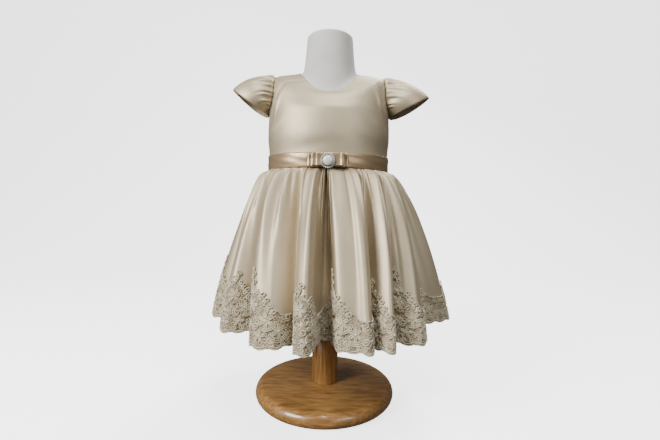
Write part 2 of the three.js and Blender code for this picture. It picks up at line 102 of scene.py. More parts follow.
# %% [markdown]
# Satin is a smooth face of long floating threads that mirrors light softly. A share of metal in the
# shader gives that: the folds that face the light turn pale and the ones that face away turn dark.
# A fine wave along the cloth gives the thread, and a slow noise keeps a large panel from looking flat.
# The pattern reads the UV map, which is in metres of cloth, so the thread keeps its scale on every panel.

# %% Material helpers and satin
def new_material(name, **sockets):
    material = bpy.data.materials.new(name)
    material.use_nodes = True
    shader = material.node_tree.nodes["Principled BSDF"]
    for socket, value in sockets.items():
        shader.inputs[socket.replace("_", " ")].default_value = value
    return material, shader


def add_node(material, kind, **inputs):
    node = material.node_tree.nodes.new(kind)
    for name, value in inputs.items():
        node.inputs[name.replace("_", " ")].default_value = value
    return node


def link(material, output, socket):
    material.node_tree.links.new(output, socket)


def noise_colour(material, shader, coords, scale, dark, light, detail=3.0):
    """Base colour that wanders between two tones."""
    noise = add_node(material, "ShaderNodeTexNoise", Scale=scale, Detail=detail)
    ramp = add_node(material, "ShaderNodeValToRGB")
    ramp.color_ramp.elements[0].position = 0.3
    ramp.color_ramp.elements[1].position = 0.7
    ramp.color_ramp.elements[0].color = (*dark, 1)
    ramp.color_ramp.elements[1].color = (*light, 1)
    link(material, coords, noise.inputs["Vector"])
    link(material, noise.outputs["Fac"], ramp.inputs["Fac"])
    link(material, ramp.outputs["Color"], shader.inputs["Base Color"])
    return ramp


def bump_chain(material, shader, layers):
    """Bump nodes in a row, each from a height output with its strength and distance in metres."""
    normal = None
    for height, strength, distance in layers:
        bump = add_node(material, "ShaderNodeBump", Strength=strength, Distance=distance)
        link(material, height, bump.inputs["Height"])
        if normal:
            link(material, normal, bump.inputs["Normal"])
        normal = bump.outputs["Normal"]
    link(material, normal, shader.inputs["Normal"])


THREAD_WAVE, SATIN_CLOUD, SATIN_RUMPLE = 900, 22, 55.0
SATIN_GLOSS = 0.55


def satin(name, dark, light, roughness):
    material, shader = new_material(
        name,
        Roughness=roughness,
        Metallic=SATIN_GLOSS,
        Specular_IOR_Level=0.5,
    )
    coords = add_node(material, "ShaderNodeTexCoord").outputs["UV"]
    noise_colour(material, shader, coords, SATIN_CLOUD, dark, light)
    thread = add_node(material, "ShaderNodeTexWave", Scale=THREAD_WAVE, Distortion=0.6)
    rumple = add_node(material, "ShaderNodeTexNoise", Scale=SATIN_RUMPLE, Detail=2.0)
    link(material, coords, thread.inputs["Vector"])
    link(material, coords, rumple.inputs["Vector"])
    bump_chain(
        material,
        shader,
        [(rumple.outputs["Fac"], 0.18, 0.0012), (thread.outputs["Fac"], 0.12, 0.00004)],
    )
    return material


champagne = satin("champagne_satin", (0.48, 0.40, 0.27), (0.535, 0.45, 0.31), 0.52)
gold_ribbon = satin("gold_ribbon", (0.34, 0.24, 0.135), (0.40, 0.29, 0.17), 0.34)
print("satins:", champagne.name, gold_ribbon.name)

# %% [markdown]
# Corded lace is matt cotton on a fine net. The cords get a twist from a small noise, and the net
# between them is a crossing of two waves whose meshes stand for the satin seen through the holes, painted
# darker than the satin as shade.

# %% Lace materials
def lace_cord_finish():
    material, shader = new_material(
        "lace_cord", Roughness=0.62, Sheen_Weight=0.25, Sheen_Roughness=0.5
    )
    coords = add_node(material, "ShaderNodeTexCoord").outputs["Object"]
    noise_colour(material, shader, coords, 160.0, (0.44, 0.375, 0.25), (0.60, 0.53, 0.375))
    twist = add_node(material, "ShaderNodeTexNoise", Scale=2200.0, Detail=1.0)
    link(material, coords, twist.inputs["Vector"])
    bump_chain(material, shader, [(twist.outputs["Fac"], 0.35, 0.0002)])
    return material


NET_WAVE = 210


def lace_net_finish():
    material, shader = new_material("lace_net", Roughness=0.6, Sheen_Weight=0.2)
    coords = add_node(material, "ShaderNodeTexCoord").outputs["UV"]
    waves = []
    for direction in ("X", "Y"):
        wave = add_node(material, "ShaderNodeTexWave", Scale=NET_WAVE)
        wave.bands_direction = direction
        link(material, coords, wave.inputs["Vector"])
        waves.append(wave.outputs["Fac"])
    net = add_node(material, "ShaderNodeMath")
    net.operation = "MAXIMUM"
    link(material, waves[0], net.inputs[0])
    link(material, waves[1], net.inputs[1])
    ramp = add_node(material, "ShaderNodeValToRGB")
    # The dark end is painted shade: the satin in the net's holes, darker than its own colour.
    ramp.color_ramp.elements[0].color = (0.25, 0.185, 0.105, 1)
    ramp.color_ramp.elements[0].position = 0.55
    ramp.color_ramp.elements[1].color = (0.40, 0.32, 0.20, 1)
    link(material, net.outputs["Value"], ramp.inputs["Fac"])
    link(material, ramp.outputs["Color"], shader.inputs["Base Color"])
    bump_chain(material, shader, [(net.outputs["Value"], 0.5, 0.0003)])
    return material


lace_cord = lace_cord_finish()
lace_net = lace_net_finish()
print("lace finishes:", lace_cord.name, lace_net.name)

# %% [markdown]
# The stand is varnished wood: long fibres, darker lines between them and a clear coat. Stretching a
# noise along one axis makes the fibres, across the top of the base and up the post.
# The form is covered in plain white jersey, and the brooch is silver, crystal and a pearl.

# %% Hard finishes
def varnished_wood(name, stretch):
    material, shader = new_material(
        name, Roughness=0.34, Coat_Weight=0.7, Coat_Roughness=0.09, Specular_IOR_Level=0.5
    )
    coords = add_node(material, "ShaderNodeTexCoord").outputs["Object"]
    mapping = add_node(material, "ShaderNodeMapping", Scale=stretch)
    link(material, coords, mapping.inputs["Vector"])
    ramp = noise_colour(
        material, shader, mapping.outputs["Vector"], 5.0, (0.21, 0.095, 0.026), (0.47, 0.25, 0.08), 8.0
    )
    bump_chain(material, shader, [(ramp.outputs["Color"], 0.12, 0.0004)])
    return material


def plain_finish(name, scale, dark, light, grain, **sockets):
    """Finish on Object coordinates with a wandering colour and a fine grain."""
    material, shader = new_material(name, **sockets)
    coords = add_node(material, "ShaderNodeTexCoord").outputs["Object"]
    noise_colour(material, shader, coords, scale, dark, light)
    fine = add_node(material, "ShaderNodeTexNoise", Scale=grain, Detail=2.0)
    link(material, coords, fine.inputs["Vector"])
    bump_chain(material, shader, [(fine.outputs["Fac"], 0.15, 0.0003)])
    return material


base_wood = varnished_wood("base_wood", (9, 60, 60))
post_wood = varnished_wood("post_wood", (70, 70, 6))
jersey = plain_finish(
    "white_jersey", 30.0, (0.53, 0.52, 0.48), (0.60, 0.59, 0.55), 1500.0, Roughness=0.85, Sheen_Weight=0.2
)
# The silver is kept far darker than polished silver, as painted shade in the gaps between the stones.
silver = plain_finish(
    "silver", 400.0, (0.3, 0.3, 0.31), (0.46, 0.46, 0.47), 3000.0, Roughness=0.3, Metallic=1.0
)
pearl_nacre = plain_finish(
    "pearl_nacre",
    180.0,
    (0.76, 0.71, 0.62),
    (0.84, 0.80, 0.72),
    900.0,
    Roughness=0.2,
    Coat_Weight=0.6,
    Coat_Roughness=0.06,
)
crystal = plain_finish(
    "crystal", 900.0, (0.6, 0.6, 0.6), (0.9, 0.9, 0.9), 900.0, Roughness=0.15
)
print("hard finishes:", base_wood.name, post_wood.name, jersey.name, silver.name)

# %% [markdown]
# Every sheet starts as a flat grid with a UV map, as cloth starts on the cutting table. A formula then
# moves each point to its place. The wall's thickness is a Solidify modifier that grows inward.

# %% Grid helpers
def add_object(name, mesh, material, smooth=True):
    piece = bpy.data.objects.new(name, mesh)
    bpy.context.scene.collection.objects.link(piece)
    mesh.materials.append(material)
    mesh.polygons.foreach_set("use_smooth", [smooth] * len(mesh.polygons))
    return piece


def mesh_from(bm, name):
    mesh = bpy.data.meshes.new(name)
    bm.to_mesh(mesh)
    bm.free()
    return mesh


def grid_mesh(columns, rows, point_at, cut, closed=False, keep=None):
    """Grid whose point_at(column, row) is in millimetres; its UVs span the cut in metres."""
    bm = bmesh.new()
    uv_map = bm.loops.layers.uv.new("UVMap")
    bmesh.ops.create_grid(bm, x_segments=columns, y_segments=rows, size=0.5, calc_uvs=True)
    if keep:
        away = [
            face
            for face in bm.faces
            if not keep(face.calc_center_median().x + 0.5, face.calc_center_median().y + 0.5)
        ]
        bmesh.ops.delete(bm, geom=away, context="FACES")
    for face in bm.faces:
        for corner in face.loops:
            corner[uv_map].uv = (
                (corner.vert.co.x + 0.5) * cut[0],
                (corner.vert.co.y + 0.5) * cut[1],
            )
    for vert in bm.verts:
        column = round((vert.co.x + 0.5) * columns)
        row = round((vert.co.y + 0.5) * rows)
        vert.co = Vector(point_at(column, row)) * MM
    if closed:
        bmesh.ops.remove_doubles(bm, verts=bm.verts, dist=1e-7)
    return bm


def thicken(piece, wall):
    solidify = piece.modifiers.new("wall", "SOLIDIFY")
    solidify.thickness = wall * MM
    solidify.offset = -1.0
    return piece


def stand_for(piece, slot, *nodes):
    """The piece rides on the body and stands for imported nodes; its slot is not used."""
    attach(piece, "root")
    if nodes:
        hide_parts(*nodes)
    return piece


# %% [markdown]
# The torso is an oval that swells at the chest, narrows over the shoulders and rises into the neck.
# Rows of half widths, depths and heights describe it. The form is that surface moved in by the cloth,
# and the bodice panels are the surface itself, so the two can never cross.

# %% Torso surface
Section = namedtuple("Section", "level half front back z_front z_side z_back")
TORSO = [
    Section(-0.5, 58, 44, 42, 262, 262, 262),
    Section(-0.42, 80, 60, 56, 276, 276, 276),
    Section(-0.25, 86.5, 64.5, 60, 304, 304, 304),
    Section(0, 87, 64.5, 60, 349.5, 349.5, 349.5),
    Section(0.1, 87.3, 65, 60.5, 361, 361, 361),
    Section(0.3, 89.3, 67, 62, 385, 385, 385),
    Section(0.55, 88, 64, 62.5, 416, 420, 420),
    Section(0.75, 86, 57.5, 58, 430, 452, 444),
    Section(0.88, 78, 52.5, 51, 438, 474, 461),
    Section(1, 43, 47, 42, 444, 481, 472),
    Section(1.08, 40, 41.5, 39, 456, 488, 480),
    Section(1.3, 38, 38, 37, 492, 504, 501),
    Section(1.6, 36.5, 36.5, 36, 520, 522, 522),
    Section(1.75, 35.5, 35.5, 35, 532, 532, 532),
    Section(1.8, 32, 32, 31.5, 536, 536, 536),
]
SIDE_RISE = 2.4


@lru_cache(maxsize=None)
def section_at(level):
    return Section(level, *(smooth_value(TORSO, "level", level, column) for column in Section._fields[1:]))


def torso_point(bearing, level):
    section = section_at(round(level, 5))
    across = math.sin(math.radians(bearing))
    ahead = math.cos(math.radians(bearing))
    depth = section.front if ahead >= 0 else section.back
    facing = section.z_front if ahead >= 0 else section.z_back
    height = lerp(facing, section.z_side, abs(across) ** SIDE_RISE)
    return Vector((section.half * across, -depth * ahead, height))


def torso_normal(bearing, level):
    across = torso_point(bearing + 0.5, level) - torso_point(bearing - 0.5, level)
    along = torso_point(bearing, level + 0.005) - torso_point(bearing, level - 0.005)
    return across.cross(along).normalized()


# %% [markdown]
# The dress form is one smooth closed body. A grid wrapped right round gives the sides, and the two open
# rings are filled and inset once, so the top of the neck stays a gentle flat cap.

# %% Dress form
SATIN_WALL = 1.4
FORM_CLEARANCE = 0.95
FORM_COLUMNS, FORM_ROWS = 96, 110
FORM_END, CAP_INSET = 0.004, 3


def make_form():
    inset = SATIN_WALL + FORM_CLEARANCE

    def point_at(column, row):
        bearing = -180 + 360 * (column % FORM_COLUMNS) / FORM_COLUMNS
        level = lerp(TORSO[0].level + FORM_END, TORSO[-1].level - FORM_END, row / FORM_ROWS)
        return torso_point(bearing, level) - torso_normal(bearing, level) * inset

    bm = grid_mesh(FORM_COLUMNS, FORM_ROWS, point_at, (0.5, 0.3), closed=True)
    rims = [edge for edge in bm.edges if edge.is_boundary]
    caps = bmesh.ops.edgeloop_fill(bm, edges=rims)["faces"]
    bmesh.ops.inset_individual(bm, faces=caps, thickness=CAP_INSET * MM)
    bmesh.ops.recalc_face_normals(bm, faces=bm.faces)
    return stand_for(add_object("form", mesh_from(bm, "form"), jersey), "form_cover", "form_torso")


form = make_form()
print("form:", len(form.data.polygons), "faces")

# %% [markdown]
# The stand's base is a disc with a full round edge and the post a plain turned rod. Spinning a half
# profile round the axis is how a lathe makes them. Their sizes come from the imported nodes.

# %% Wooden stand
SPIN_STEPS = 128
EDGE_STEPS = 14


def spin_profile(name, profile, material):
    """Turns a profile of (radius, height) in metres about the vertical axis."""
    bm = bmesh.new()
    points = [bm.verts.new((radius, 0, height)) for radius, height in profile]
    edges = [bm.edges.new(pair) for pair in zip(points, points[1:])]
    bmesh.ops.spin(
        bm,
        geom=points + edges,
        axis=(0, 0, 1),
        cent=(0, 0, 0),
        angle=math.tau,
        steps=SPIN_STEPS,
        use_merge=True,
    )
    bmesh.ops.remove_doubles(bm, verts=bm.verts, dist=1e-6)
    bmesh.ops.recalc_face_normals(bm, faces=bm.faces)
    return add_object(name, mesh_from(bm, name), material)


def make_base():
    low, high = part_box("form_base")
    radius, height = high.x, high.z
    edge = height / 2
    turns = [math.pi * (i / EDGE_STEPS - 0.5) for i in range(EDGE_STEPS + 1)]
    rim = [(radius - edge + edge * math.cos(turn), edge + edge * math.sin(turn)) for turn in turns]
    profile = [(0, low.z), (radius / 2, low.z), *rim, (radius / 2, height), (0, height)]
    return stand_for(spin_profile("stand_base", profile, base_wood), "wood", "form_base")


def make_post():
    low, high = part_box("form_post")
    radius, chamfer = high.x, 1 * MM
    profile = [
        (0, low.z),
        (radius - chamfer, low.z),
        (radius, low.z + chamfer),
        (radius, high.z - chamfer),
        (radius - chamfer, high.z),
        (0, high.z),
    ]
    return stand_for(spin_profile("stand_post", profile, post_wood), "wood", "form_post")


base, post = make_base(), make_post()
print("stand:", base.name, post.name)

# %% [markdown]
# The bodice is a plain front and two backs that meet at the centre back. A grid follows the torso between
# its side edges, which the armholes bite into. Drag lines at the armholes and side chest are soft troughs
# and ridges, each a short row: where it is, how it turns, its length, width and depth.

# %% Bodice panels
ARMHOLE_LOW, ARMHOLE_TOP, ARMHOLE_BITE = 0.55, 0.88, 22
SEAM_BEARING = 0.2
BODICE_ROWS = 96
ROW_SHARE_LOW, ROW_SHARE_TOP = 0.45, 0.85
BODICE_WALL = 1.2
BEARING_MM, LEVEL_MM = 1.5, 125
NECK_ROLL, NECK_EDGE = 0.8, 0.985
EDGE_SETTLE, NECK_SETTLE, DEEPEST_CREASE = 12, 14, -1.0
Crease = namedtuple("Crease", "bearing level turn length width depth")
FRONT_CREASES = [
    Crease(-62, 0.60, 62, 26, 5, -1.5),
    Crease(-57, 0.62, 70, 24, 4.5, 1.9),
    Crease(-70, 0.42, 35, 22, 5, -1.3),
    Crease(-64, 0.33, 30, 26, 6, 1.6),
    Crease(-78, 0.22, 20, 18, 5, -0.9),
    Crease(-52, 0.86, 80, 16, 5, -0.8),
    Crease(60, 0.64, -66, 26, 5, -1.6),
    Crease(54, 0.70, -78, 26, 4.5, 2.0),
    Crease(68, 0.46, -40, 24, 6, -1.6),
    Crease(57, 0.36, -36, 30, 8, 2.0),
    Crease(76, 0.26, -26, 18, 5, -1.0),
    Crease(34, 0.22, -24, 30, 10, -0.9),
    Crease(-12, 0.16, 12, 34, 8, -0.6),
    Crease(20, 0.52, -30, 34, 12, 0.7),
]
BACK_CREASES = [
    Crease(118, 0.62, 70, 22, 5, -1.3),
    Crease(128, 0.42, 34, 28, 7, -1.0),
    Crease(150, 0.24, 20, 28, 7, 0.8),
    Crease(165, 0.60, 88, 30, 5, -0.7),
    Crease(140, 0.80, 60, 20, 5, 0.7),
]


def crease_lift(creases, bearing, level):
    total = 0
    for crease in creases:
        x = (bearing - crease.bearing) * BEARING_MM
        y = (level - crease.level) * LEVEL_MM
        turn = math.radians(crease.turn)
        along = x * math.cos(turn) + y * math.sin(turn)
        aside = y * math.cos(turn) - x * math.sin(turn)
        total += crease.depth * math.exp(-((along / crease.length) ** 2) - (aside / crease.width) ** 2)
    return total


def armhole_bite(level):
    rise = min(max((level - ARMHOLE_LOW) / (ARMHOLE_TOP - ARMHOLE_LOW), 0), 1)
    return ARMHOLE_BITE * 2 * math.sqrt(rise * (1 - rise))


def bodice_level(share):
    """Rows crowd toward both ends of the armhole, where its edge turns fastest."""
    if share < ROW_SHARE_LOW:
        return ARMHOLE_LOW * share / ROW_SHARE_LOW
    if share < ROW_SHARE_TOP:
        turn = math.pi * (share - ROW_SHARE_LOW) / (ROW_SHARE_TOP - ROW_SHARE_LOW)
        return lerp(ARMHOLE_LOW, ARMHOLE_TOP, (1 - math.cos(turn)) / 2)
    return lerp(ARMHOLE_TOP, 1, (share - ROW_SHARE_TOP) / (1 - ROW_SHARE_TOP))


def make_bodice(name, columns, start_at, end_at, creases, cut):
    def point_at(column, row):
        level = bodice_level(row / BODICE_ROWS)
        bearing = lerp(start_at(level), end_at(level), column / columns)
        edge = min(column, columns - column) / columns
        settle = min(1, edge * EDGE_SETTLE) * min(1, level * EDGE_SETTLE) * min(1, (1 - level) * NECK_SETTLE)
        lift = settle * max(crease_lift(creases, bearing, level), DEEPEST_CREASE)
        roll = -NECK_ROLL * max(0, (level - NECK_EDGE) / (1 - NECK_EDGE)) ** 2
        return torso_point(bearing, level) + torso_normal(bearing, level) * (lift + roll)

    bm = grid_mesh(columns, BODICE_ROWS, point_at, cut)
    piece = thicken(add_object(f"{name}_cloth", mesh_from(bm, name), champagne), BODICE_WALL)
    return stand_for(piece, "satin", name)


def front_edge(level):
    return 90 - SEAM_BEARING - armhole_bite(level)


def back_edge(level):
    return 90 + SEAM_BEARING + armhole_bite(level)


centre_back = 180 - SEAM_BEARING
mirrored_creases = [crease._replace(bearing=-crease.bearing, turn=-crease.turn) for crease in BACK_CREASES]
make_bodice(
    "bodice_front", 128, lambda level: -front_edge(level), front_edge, FRONT_CREASES, (0.25, 0.14)
)
make_bodice(
    "bodice_back_left", 64, back_edge, lambda level: centre_back, BACK_CREASES, (0.13, 0.15)
)
make_bodice(
    "bodice_back_right",
    64,
    lambda level: -centre_back,
    lambda level: -back_edge(level),
    mirrored_creases,
    (0.13, 0.15),
)
print("bodice panels made on", len(TORSO), "torso sections")

# %% [markdown]
# A cap sleeve is short under the arm and long over the shoulder, gathered into the armhole and plain at
# the cuff. Each line of the sleeve runs from the armhole over a crown to the cuff on a quadratic curve.
# The gathers are ridges of uneven width, height and length that die away toward the cuff.

# %% Cap sleeves
Sleeve = namedtuple("Sleeve", "name side reach tip seed")
SLEEVES = [Sleeve("sleeve_left", 1, 57, 448, 5), Sleeve("sleeve_right", -1, 52, 455, 9)]
SLEEVE_COLUMNS, SLEEVE_ROWS = 288, 44
SLEEVE_LIFT, SLEEVE_WALL = 0.5, 1.1
CUFF_START, CUFF_LOW, CUFF_DEPTH, CUFF_RISE = 90, 418, 33, 1.35
CUFF_TURN, CUFF_EDGE = 0.9, 0.95
CROWN_OUT, CROWN_FORWARD, CROWN_LOW, CROWN_HIGH = 5, 11, 2, 16
SLEEVE_GATHERS = 23
GATHER_START, TOP_EASE = 0.05, 0.65
RIDGE_SHIFT = 0.32
Ridge = namedtuple("Ridge", "at width height length")


def seeded_ridges(seed, count, width, height, length):
    """Evenly dealt ridges, each shifted and sized a little differently."""
    rng = random.Random(seed)
    return [
        Ridge(
            (i + 0.5 + rng.uniform(-RIDGE_SHIFT, RIDGE_SHIFT)) / count,
            rng.uniform(*width),
            rng.uniform(*height),
            rng.uniform(*length),
        )
        for i in range(count)
    ]


def sleeve_point(sleeve, ridges, turn, share):
    lift = (1 - math.cos(math.tau * turn)) / 2
    around = math.sin(math.tau * turn)
    level = lerp(ARMHOLE_LOW, ARMHOLE_TOP, lift)
    bearing = sleeve.side * (90 + sleeve.side * ARMHOLE_BITE * around)
    seam = torso_point(bearing, level) + torso_normal(bearing, level) * SLEEVE_LIFT
    cuff = Vector(
        (
            sleeve.side * (CUFF_START + sleeve.reach * lift),
            sleeve.side * CUFF_DEPTH * around,
            lerp(CUFF_LOW, sleeve.tip, lift**CUFF_RISE),
        )
    )
    forward = sleeve.side * CROWN_FORWARD * around
    puff = Vector((sleeve.side * CROWN_OUT * lift, forward, lerp(CROWN_LOW, CROWN_HIGH, lift)))
    crown = (seam + cuff) / 2 + puff
    along = seam * (1 - share) ** 2 + crown * 2 * share * (1 - share) + cuff * share**2
    outward = Vector((0, sleeve.side * around, -math.cos(math.tau * turn)))
    gather = 0
    for ridge in ridges:
        aside = (turn - ridge.at) / ridge.width
        rise = min(1, share / GATHER_START)
        gather += ridge.height * math.exp(-(aside**2)) * rise * math.exp(-((share / ridge.length) ** 2))
    hem = -CUFF_TURN * max(0, (share - CUFF_EDGE) / (1 - CUFF_EDGE)) ** 2
    return along + outward * (lift**0.5 * (1 - TOP_EASE * lift**4) * gather + hem)


def make_sleeve(sleeve):
    ridges = seeded_ridges(sleeve.seed, SLEEVE_GATHERS, (0.009, 0.014), (5.0, 8.4), (0.18, 0.44))

    def point_at(column, row):
        turn = (column % SLEEVE_COLUMNS) / SLEEVE_COLUMNS
        return sleeve_point(sleeve, ridges, turn, row / SLEEVE_ROWS)

    cut = (0.26, 0.085)
    bm = grid_mesh(SLEEVE_COLUMNS, SLEEVE_ROWS, point_at, cut, closed=True)
    bmesh.ops.recalc_face_normals(bm, faces=bm.faces)
    middle = bm.faces[:][len(bm.faces) // 2]
    armpit = Vector((middle.calc_center_median().x, 0, CUFF_LOW * MM + 0.01))
    if middle.normal.dot(middle.calc_center_median() - armpit) < 0:
        bmesh.ops.reverse_faces(bm, faces=bm.faces)
    piece = thicken(add_object(f"{sleeve.name}_cloth", mesh_from(bm, sleeve.name), champagne), SLEEVE_WALL)
    return stand_for(piece, "satin", sleeve.name)


for each in SLEEVES:
    print("sleeve:", make_sleeve(each).name)

# %% [markdown]
# The skirt is two wide panels gathered into the waist. Its big folds are a table: the bearing of each
# ridge and valley at the hem and at the waist, and how far the hem reaches there. Shoulder rows beside a
# ridge make its flanks steep. Going up, the folds shrink and fan into the waist.

# %% Skirt tables
SkirtRow = namedtuple("SkirtRow", "height flare fold")
SKIRT_ROWS = [
    SkirtRow(124, 1, 1),
    SkirtRow(150, 0.94, 0.93),
    SkirtRow(180, 0.85, 0.83),
    SkirtRow(216, 0.71, 0.8),
    SkirtRow(254, 0.55, 0.7),
    SkirtRow(288, 0.39, 0.55),
    SkirtRow(316, 0.22, 0.33),
    SkirtRow(330, 0.11, 0.15),
    SkirtRow(338, 0, 0),
    SkirtRow(348.6, 0, 0),
]
HEM_HALF_WIDTH, HEM_HALF_DEPTH = 162, 148
Fold = namedtuple("Fold", "bearing waist reach")
FRONT_FOLDS = [
    Fold(-90, -90, 170),
    Fold(-82, -86, 163),
    Fold(-75, -83, 144),
    Fold(-65, -79, 151),
    Fold(-58, -76.5, 159),
    Fold(-54, -74.5, 158),
    Fold(-50, -72, 140),
    Fold(-46.5, -70, 122),
    Fold(-42, -67, 118),
    Fold(-36.5, -62, 125),
    Fold(-34.2, -60, 146),
    Fold(-32, -58, 162),
    Fold(-28, -53, 165),
    Fold(-22, -44, 161),
    Fold(-17.5, -37, 142),
    Fold(-15, -31, 129),
    Fold(-13, -24, 150),
    Fold(-11, -17, 166),
    Fold(-8, -11, 169),
    Fold(-5.6, -7, 161),
    Fold(-4.2, -3.5, 128),
    Fold(-2, -1.6, 113),
    Fold(2.2, -0.4, 112),
    Fold(4.6, 0.8, 124),
    Fold(6.4, 2.4, 152),
    Fold(9, 8, 156),
    Fold(13, 15, 158),
    Fold(17.5, 23, 169),
    Fold(19.6, 28, 163),
    Fold(21.8, 37, 132),
    Fold(24, 42, 161),
    Fold(26.5, 46, 173),
    Fold(29, 49, 165),
    Fold(33.5, 54, 130),
    Fold(37, 58, 155),
    Fold(42, 64, 172),
    Fold(48, 68, 167),
    Fold(57, 73, 150),
    Fold(69, 79, 135),
    Fold(78, 85, 160),
    Fold(84, 87, 180),
    Fold(90, 90, 185),
]
BACK_FOLDS = [
    Fold(90, 90, 183),
    Fold(101, 96, 147),
    Fold(113, 106, 169),
    Fold(124, 117, 142),
    Fold(135, 128, 166),
    Fold(145, 139, 140),
    Fold(156, 151, 164),
    Fold(166, 163, 131),
    Fold(177, 176, 163),
    Fold(187, 189, 136),
    Fold(198, 202, 166),
    Fold(208, 213, 140),
    Fold(220, 227, 163),
    Fold(231, 238, 142),
    Fold(244, 251, 168),
    Fold(257, 262, 144),
    Fold(270, 270, 170),
]
print("skirt folds:", len(FRONT_FOLDS), "rows in front,", len(BACK_FOLDS), "behind")

# %% [markdown]
# Under the sash the cloth is drawn up on a thread, so it breaks into fine gathers, longer ones and sharp
# tucks of uneven length. They are ridges and troughs added to the folds, dealt from a seed so that they
# never change. Numpy works out the whole panel at once, and it can also place what lies on the cloth.

# %% Skirt panel surface
PANEL_COLUMNS, PANEL_ROWS = 360, 104
SKIRT_SEAM_BEARING = 0.09
HEM, WAIST_TOP = SKIRT_ROWS[0].height, SKIRT_ROWS[-1].height
SASH_LOW, SASH_HIGH = (corner.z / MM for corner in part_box("sash_ribbon"))
FINE_GATHERS = 38
LONG_GATHERS = 17
TUCKS = 33
CENTRE_CREASE = (0.004, -10, 120)
GATHER_RAMP, GATHER_RISE, END_FADE = 6, 1, 60
WAIST = next(row for row in TORSO if row.level == 0)


def oval_radius(bearing, half, front, back):
    across, ahead = np.sin(np.radians(bearing)), np.cos(np.radians(bearing))
    return 1 / np.hypot(across / half, ahead / np.where(ahead >= 0, front, back))


def waist_reach(bearing):
    return oval_radius(bearing, WAIST.half, WAIST.front, WAIST.back)


def mean_hem(bearing):
    return oval_radius(bearing, HEM_HALF_WIDTH, HEM_HALF_DEPTH, HEM_HALF_DEPTH)


def even_bearings(folds, steps=1800):
    """Hem bearings that share the cloth of the hem evenly, and the hem's length."""
    bearings = np.linspace(
        folds[0].bearing + SKIRT_SEAM_BEARING, folds[-1].bearing - SKIRT_SEAM_BEARING, steps
    )
    reach = np.array([smooth_value(folds, "bearing", b, "reach") for b in bearings])
    hem = np.stack([reach * np.sin(np.radians(bearings)), reach * np.cos(np.radians(bearings))])
    lengths = np.concatenate([[0], np.cumsum(np.hypot(*np.diff(hem, axis=1)))])
    shares = np.linspace(0, lengths[-1], PANEL_COLUMNS + 1)
    return np.interp(shares, lengths, bearings), lengths[-1]


def ridge_field(ridges, along, below):
    """Height of soft ridges that start under the sash and fade over their own length."""
    field = np.zeros_like(along * below)
    for ridge in ridges:
        aside = (along - ridge.at) / ridge.width
        field += ridge.height * np.exp(-(aside**2) - (below / ridge.length) ** 2)
    return field


def gather_field(seed, crease_at, along, heights):
    """How far the gathers push the cloth out and the tucks draw it in, from the sash down."""
    below = np.maximum(SASH_LOW - GATHER_RAMP - heights, 0)
    start = np.clip((SASH_LOW + GATHER_RISE - heights) / GATHER_RAMP, 0, 1)
    ends = np.clip(np.minimum(along, 1 - along) * END_FADE, 0, 1)
    groups = (
        seeded_ridges(seed, FINE_GATHERS, (0.005, 0.0085), (3.2, 6.8), (22, 90)),
        seeded_ridges(seed + 1, LONG_GATHERS, (0.010, 0.018), (2.4, 5.4), (70, 170)),
        seeded_ridges(seed + 2, TUCKS, (0.0035, 0.0055), (-9.5, -4.5), (26, 130)),
        [Ridge(crease_at, *CENTRE_CREASE)],
    )
    gather = sum(ridge_field(ridges, along, below) for ridges in groups)
    return gather * start * start * (3 - 2 * start) * ends


class SkirtPanel:
    """Outer face of one gathered panel: points and outward normals on a grid."""

    def __init__(self, folds, seed, crease_bearing):
        hem_bearing, self.hem_length = even_bearings(folds)
        waist_bearing = np.array([smooth_value(folds, "bearing", b, "waist") for b in hem_bearing])
        hem_fold = np.array([smooth_value(folds, "bearing", b, "reach") for b in hem_bearing])
        hem_fold -= mean_hem(hem_bearing)
        heights = np.linspace(HEM, WAIST_TOP, PANEL_ROWS + 1)[:, None]
        flare = np.array([[smooth_value(SKIRT_ROWS, "height", h, "flare")] for h in heights[:, 0]])
        fold = np.array([[smooth_value(SKIRT_ROWS, "height", h, "fold")] for h in heights[:, 0]])
        bearing = lerp(waist_bearing, hem_bearing, flare)
        along = np.linspace(0, 1, PANEL_COLUMNS + 1)[None, :]
        crease_at = np.interp(crease_bearing, hem_bearing, along[0])
        reach = lerp(waist_reach(bearing), mean_hem(bearing), flare) + fold * hem_fold
        reach = reach + gather_field(seed, crease_at, along, heights)
        reach = np.maximum(reach, waist_reach(bearing))
        angle = np.radians(bearing)
        self.points = np.stack(
            [reach * np.sin(angle), -reach * np.cos(angle), heights + 0 * angle], axis=-1
        )
        across = np.gradient(self.points, axis=1)
        up = np.gradient(self.points, axis=0)
        normals = np.cross(across, up)
        self.normals = normals / np.linalg.norm(normals, axis=-1, keepdims=True)

    def place(self, along, above_hem, lift):
        """Points of the cloth at a share along the panel and a height above the hem, moved out."""
        column = np.clip(along, 0, 1) * PANEL_COLUMNS
        row = above_hem / (WAIST_TOP - HEM) * PANEL_ROWS
        i = np.clip(np.floor(column).astype(int), 0, PANEL_COLUMNS - 1)
        j = np.clip(np.floor(row).astype(int), 0, PANEL_ROWS - 1)
        s, t = (column - i)[..., None], (row - j)[..., None]

        def blend(grid):
            low = lerp(grid[j, i], grid[j, i + 1], s)
            return lerp(low, lerp(grid[j + 1, i], grid[j + 1, i + 1], s), t)

        return blend(self.points) + blend(self.normals) * np.asarray(lift)[..., None]


panels = {"front": SkirtPanel(FRONT_FOLDS, 21, 0), "back": SkirtPanel(BACK_FOLDS, 33, 166)}
for place_name, panel in panels.items():
    print(place_name, "hem length", round(panel.hem_length), "mm")

# %% [markdown]
# Each panel is one sheet of satin whose UV map spans its flat size, because cloth is cut flat before it is
# gathered. The sheet gets its thickness last, so that the folds keep one even wall.

# %% Skirt sheets
SKIRT_WALL = 1.0


def make_skirt(place_name, panel):
    cut = (panel.hem_length * MM, 0.245)
    bm = grid_mesh(PANEL_COLUMNS, PANEL_ROWS, lambda column, row: panel.points[row, column], cut)
    name = f"skirt_{place_name}"
    piece = thicken(add_object(f"{name}_cloth", mesh_from(bm, name), champagne), SKIRT_WALL)
    return stand_for(piece, "satin", name)


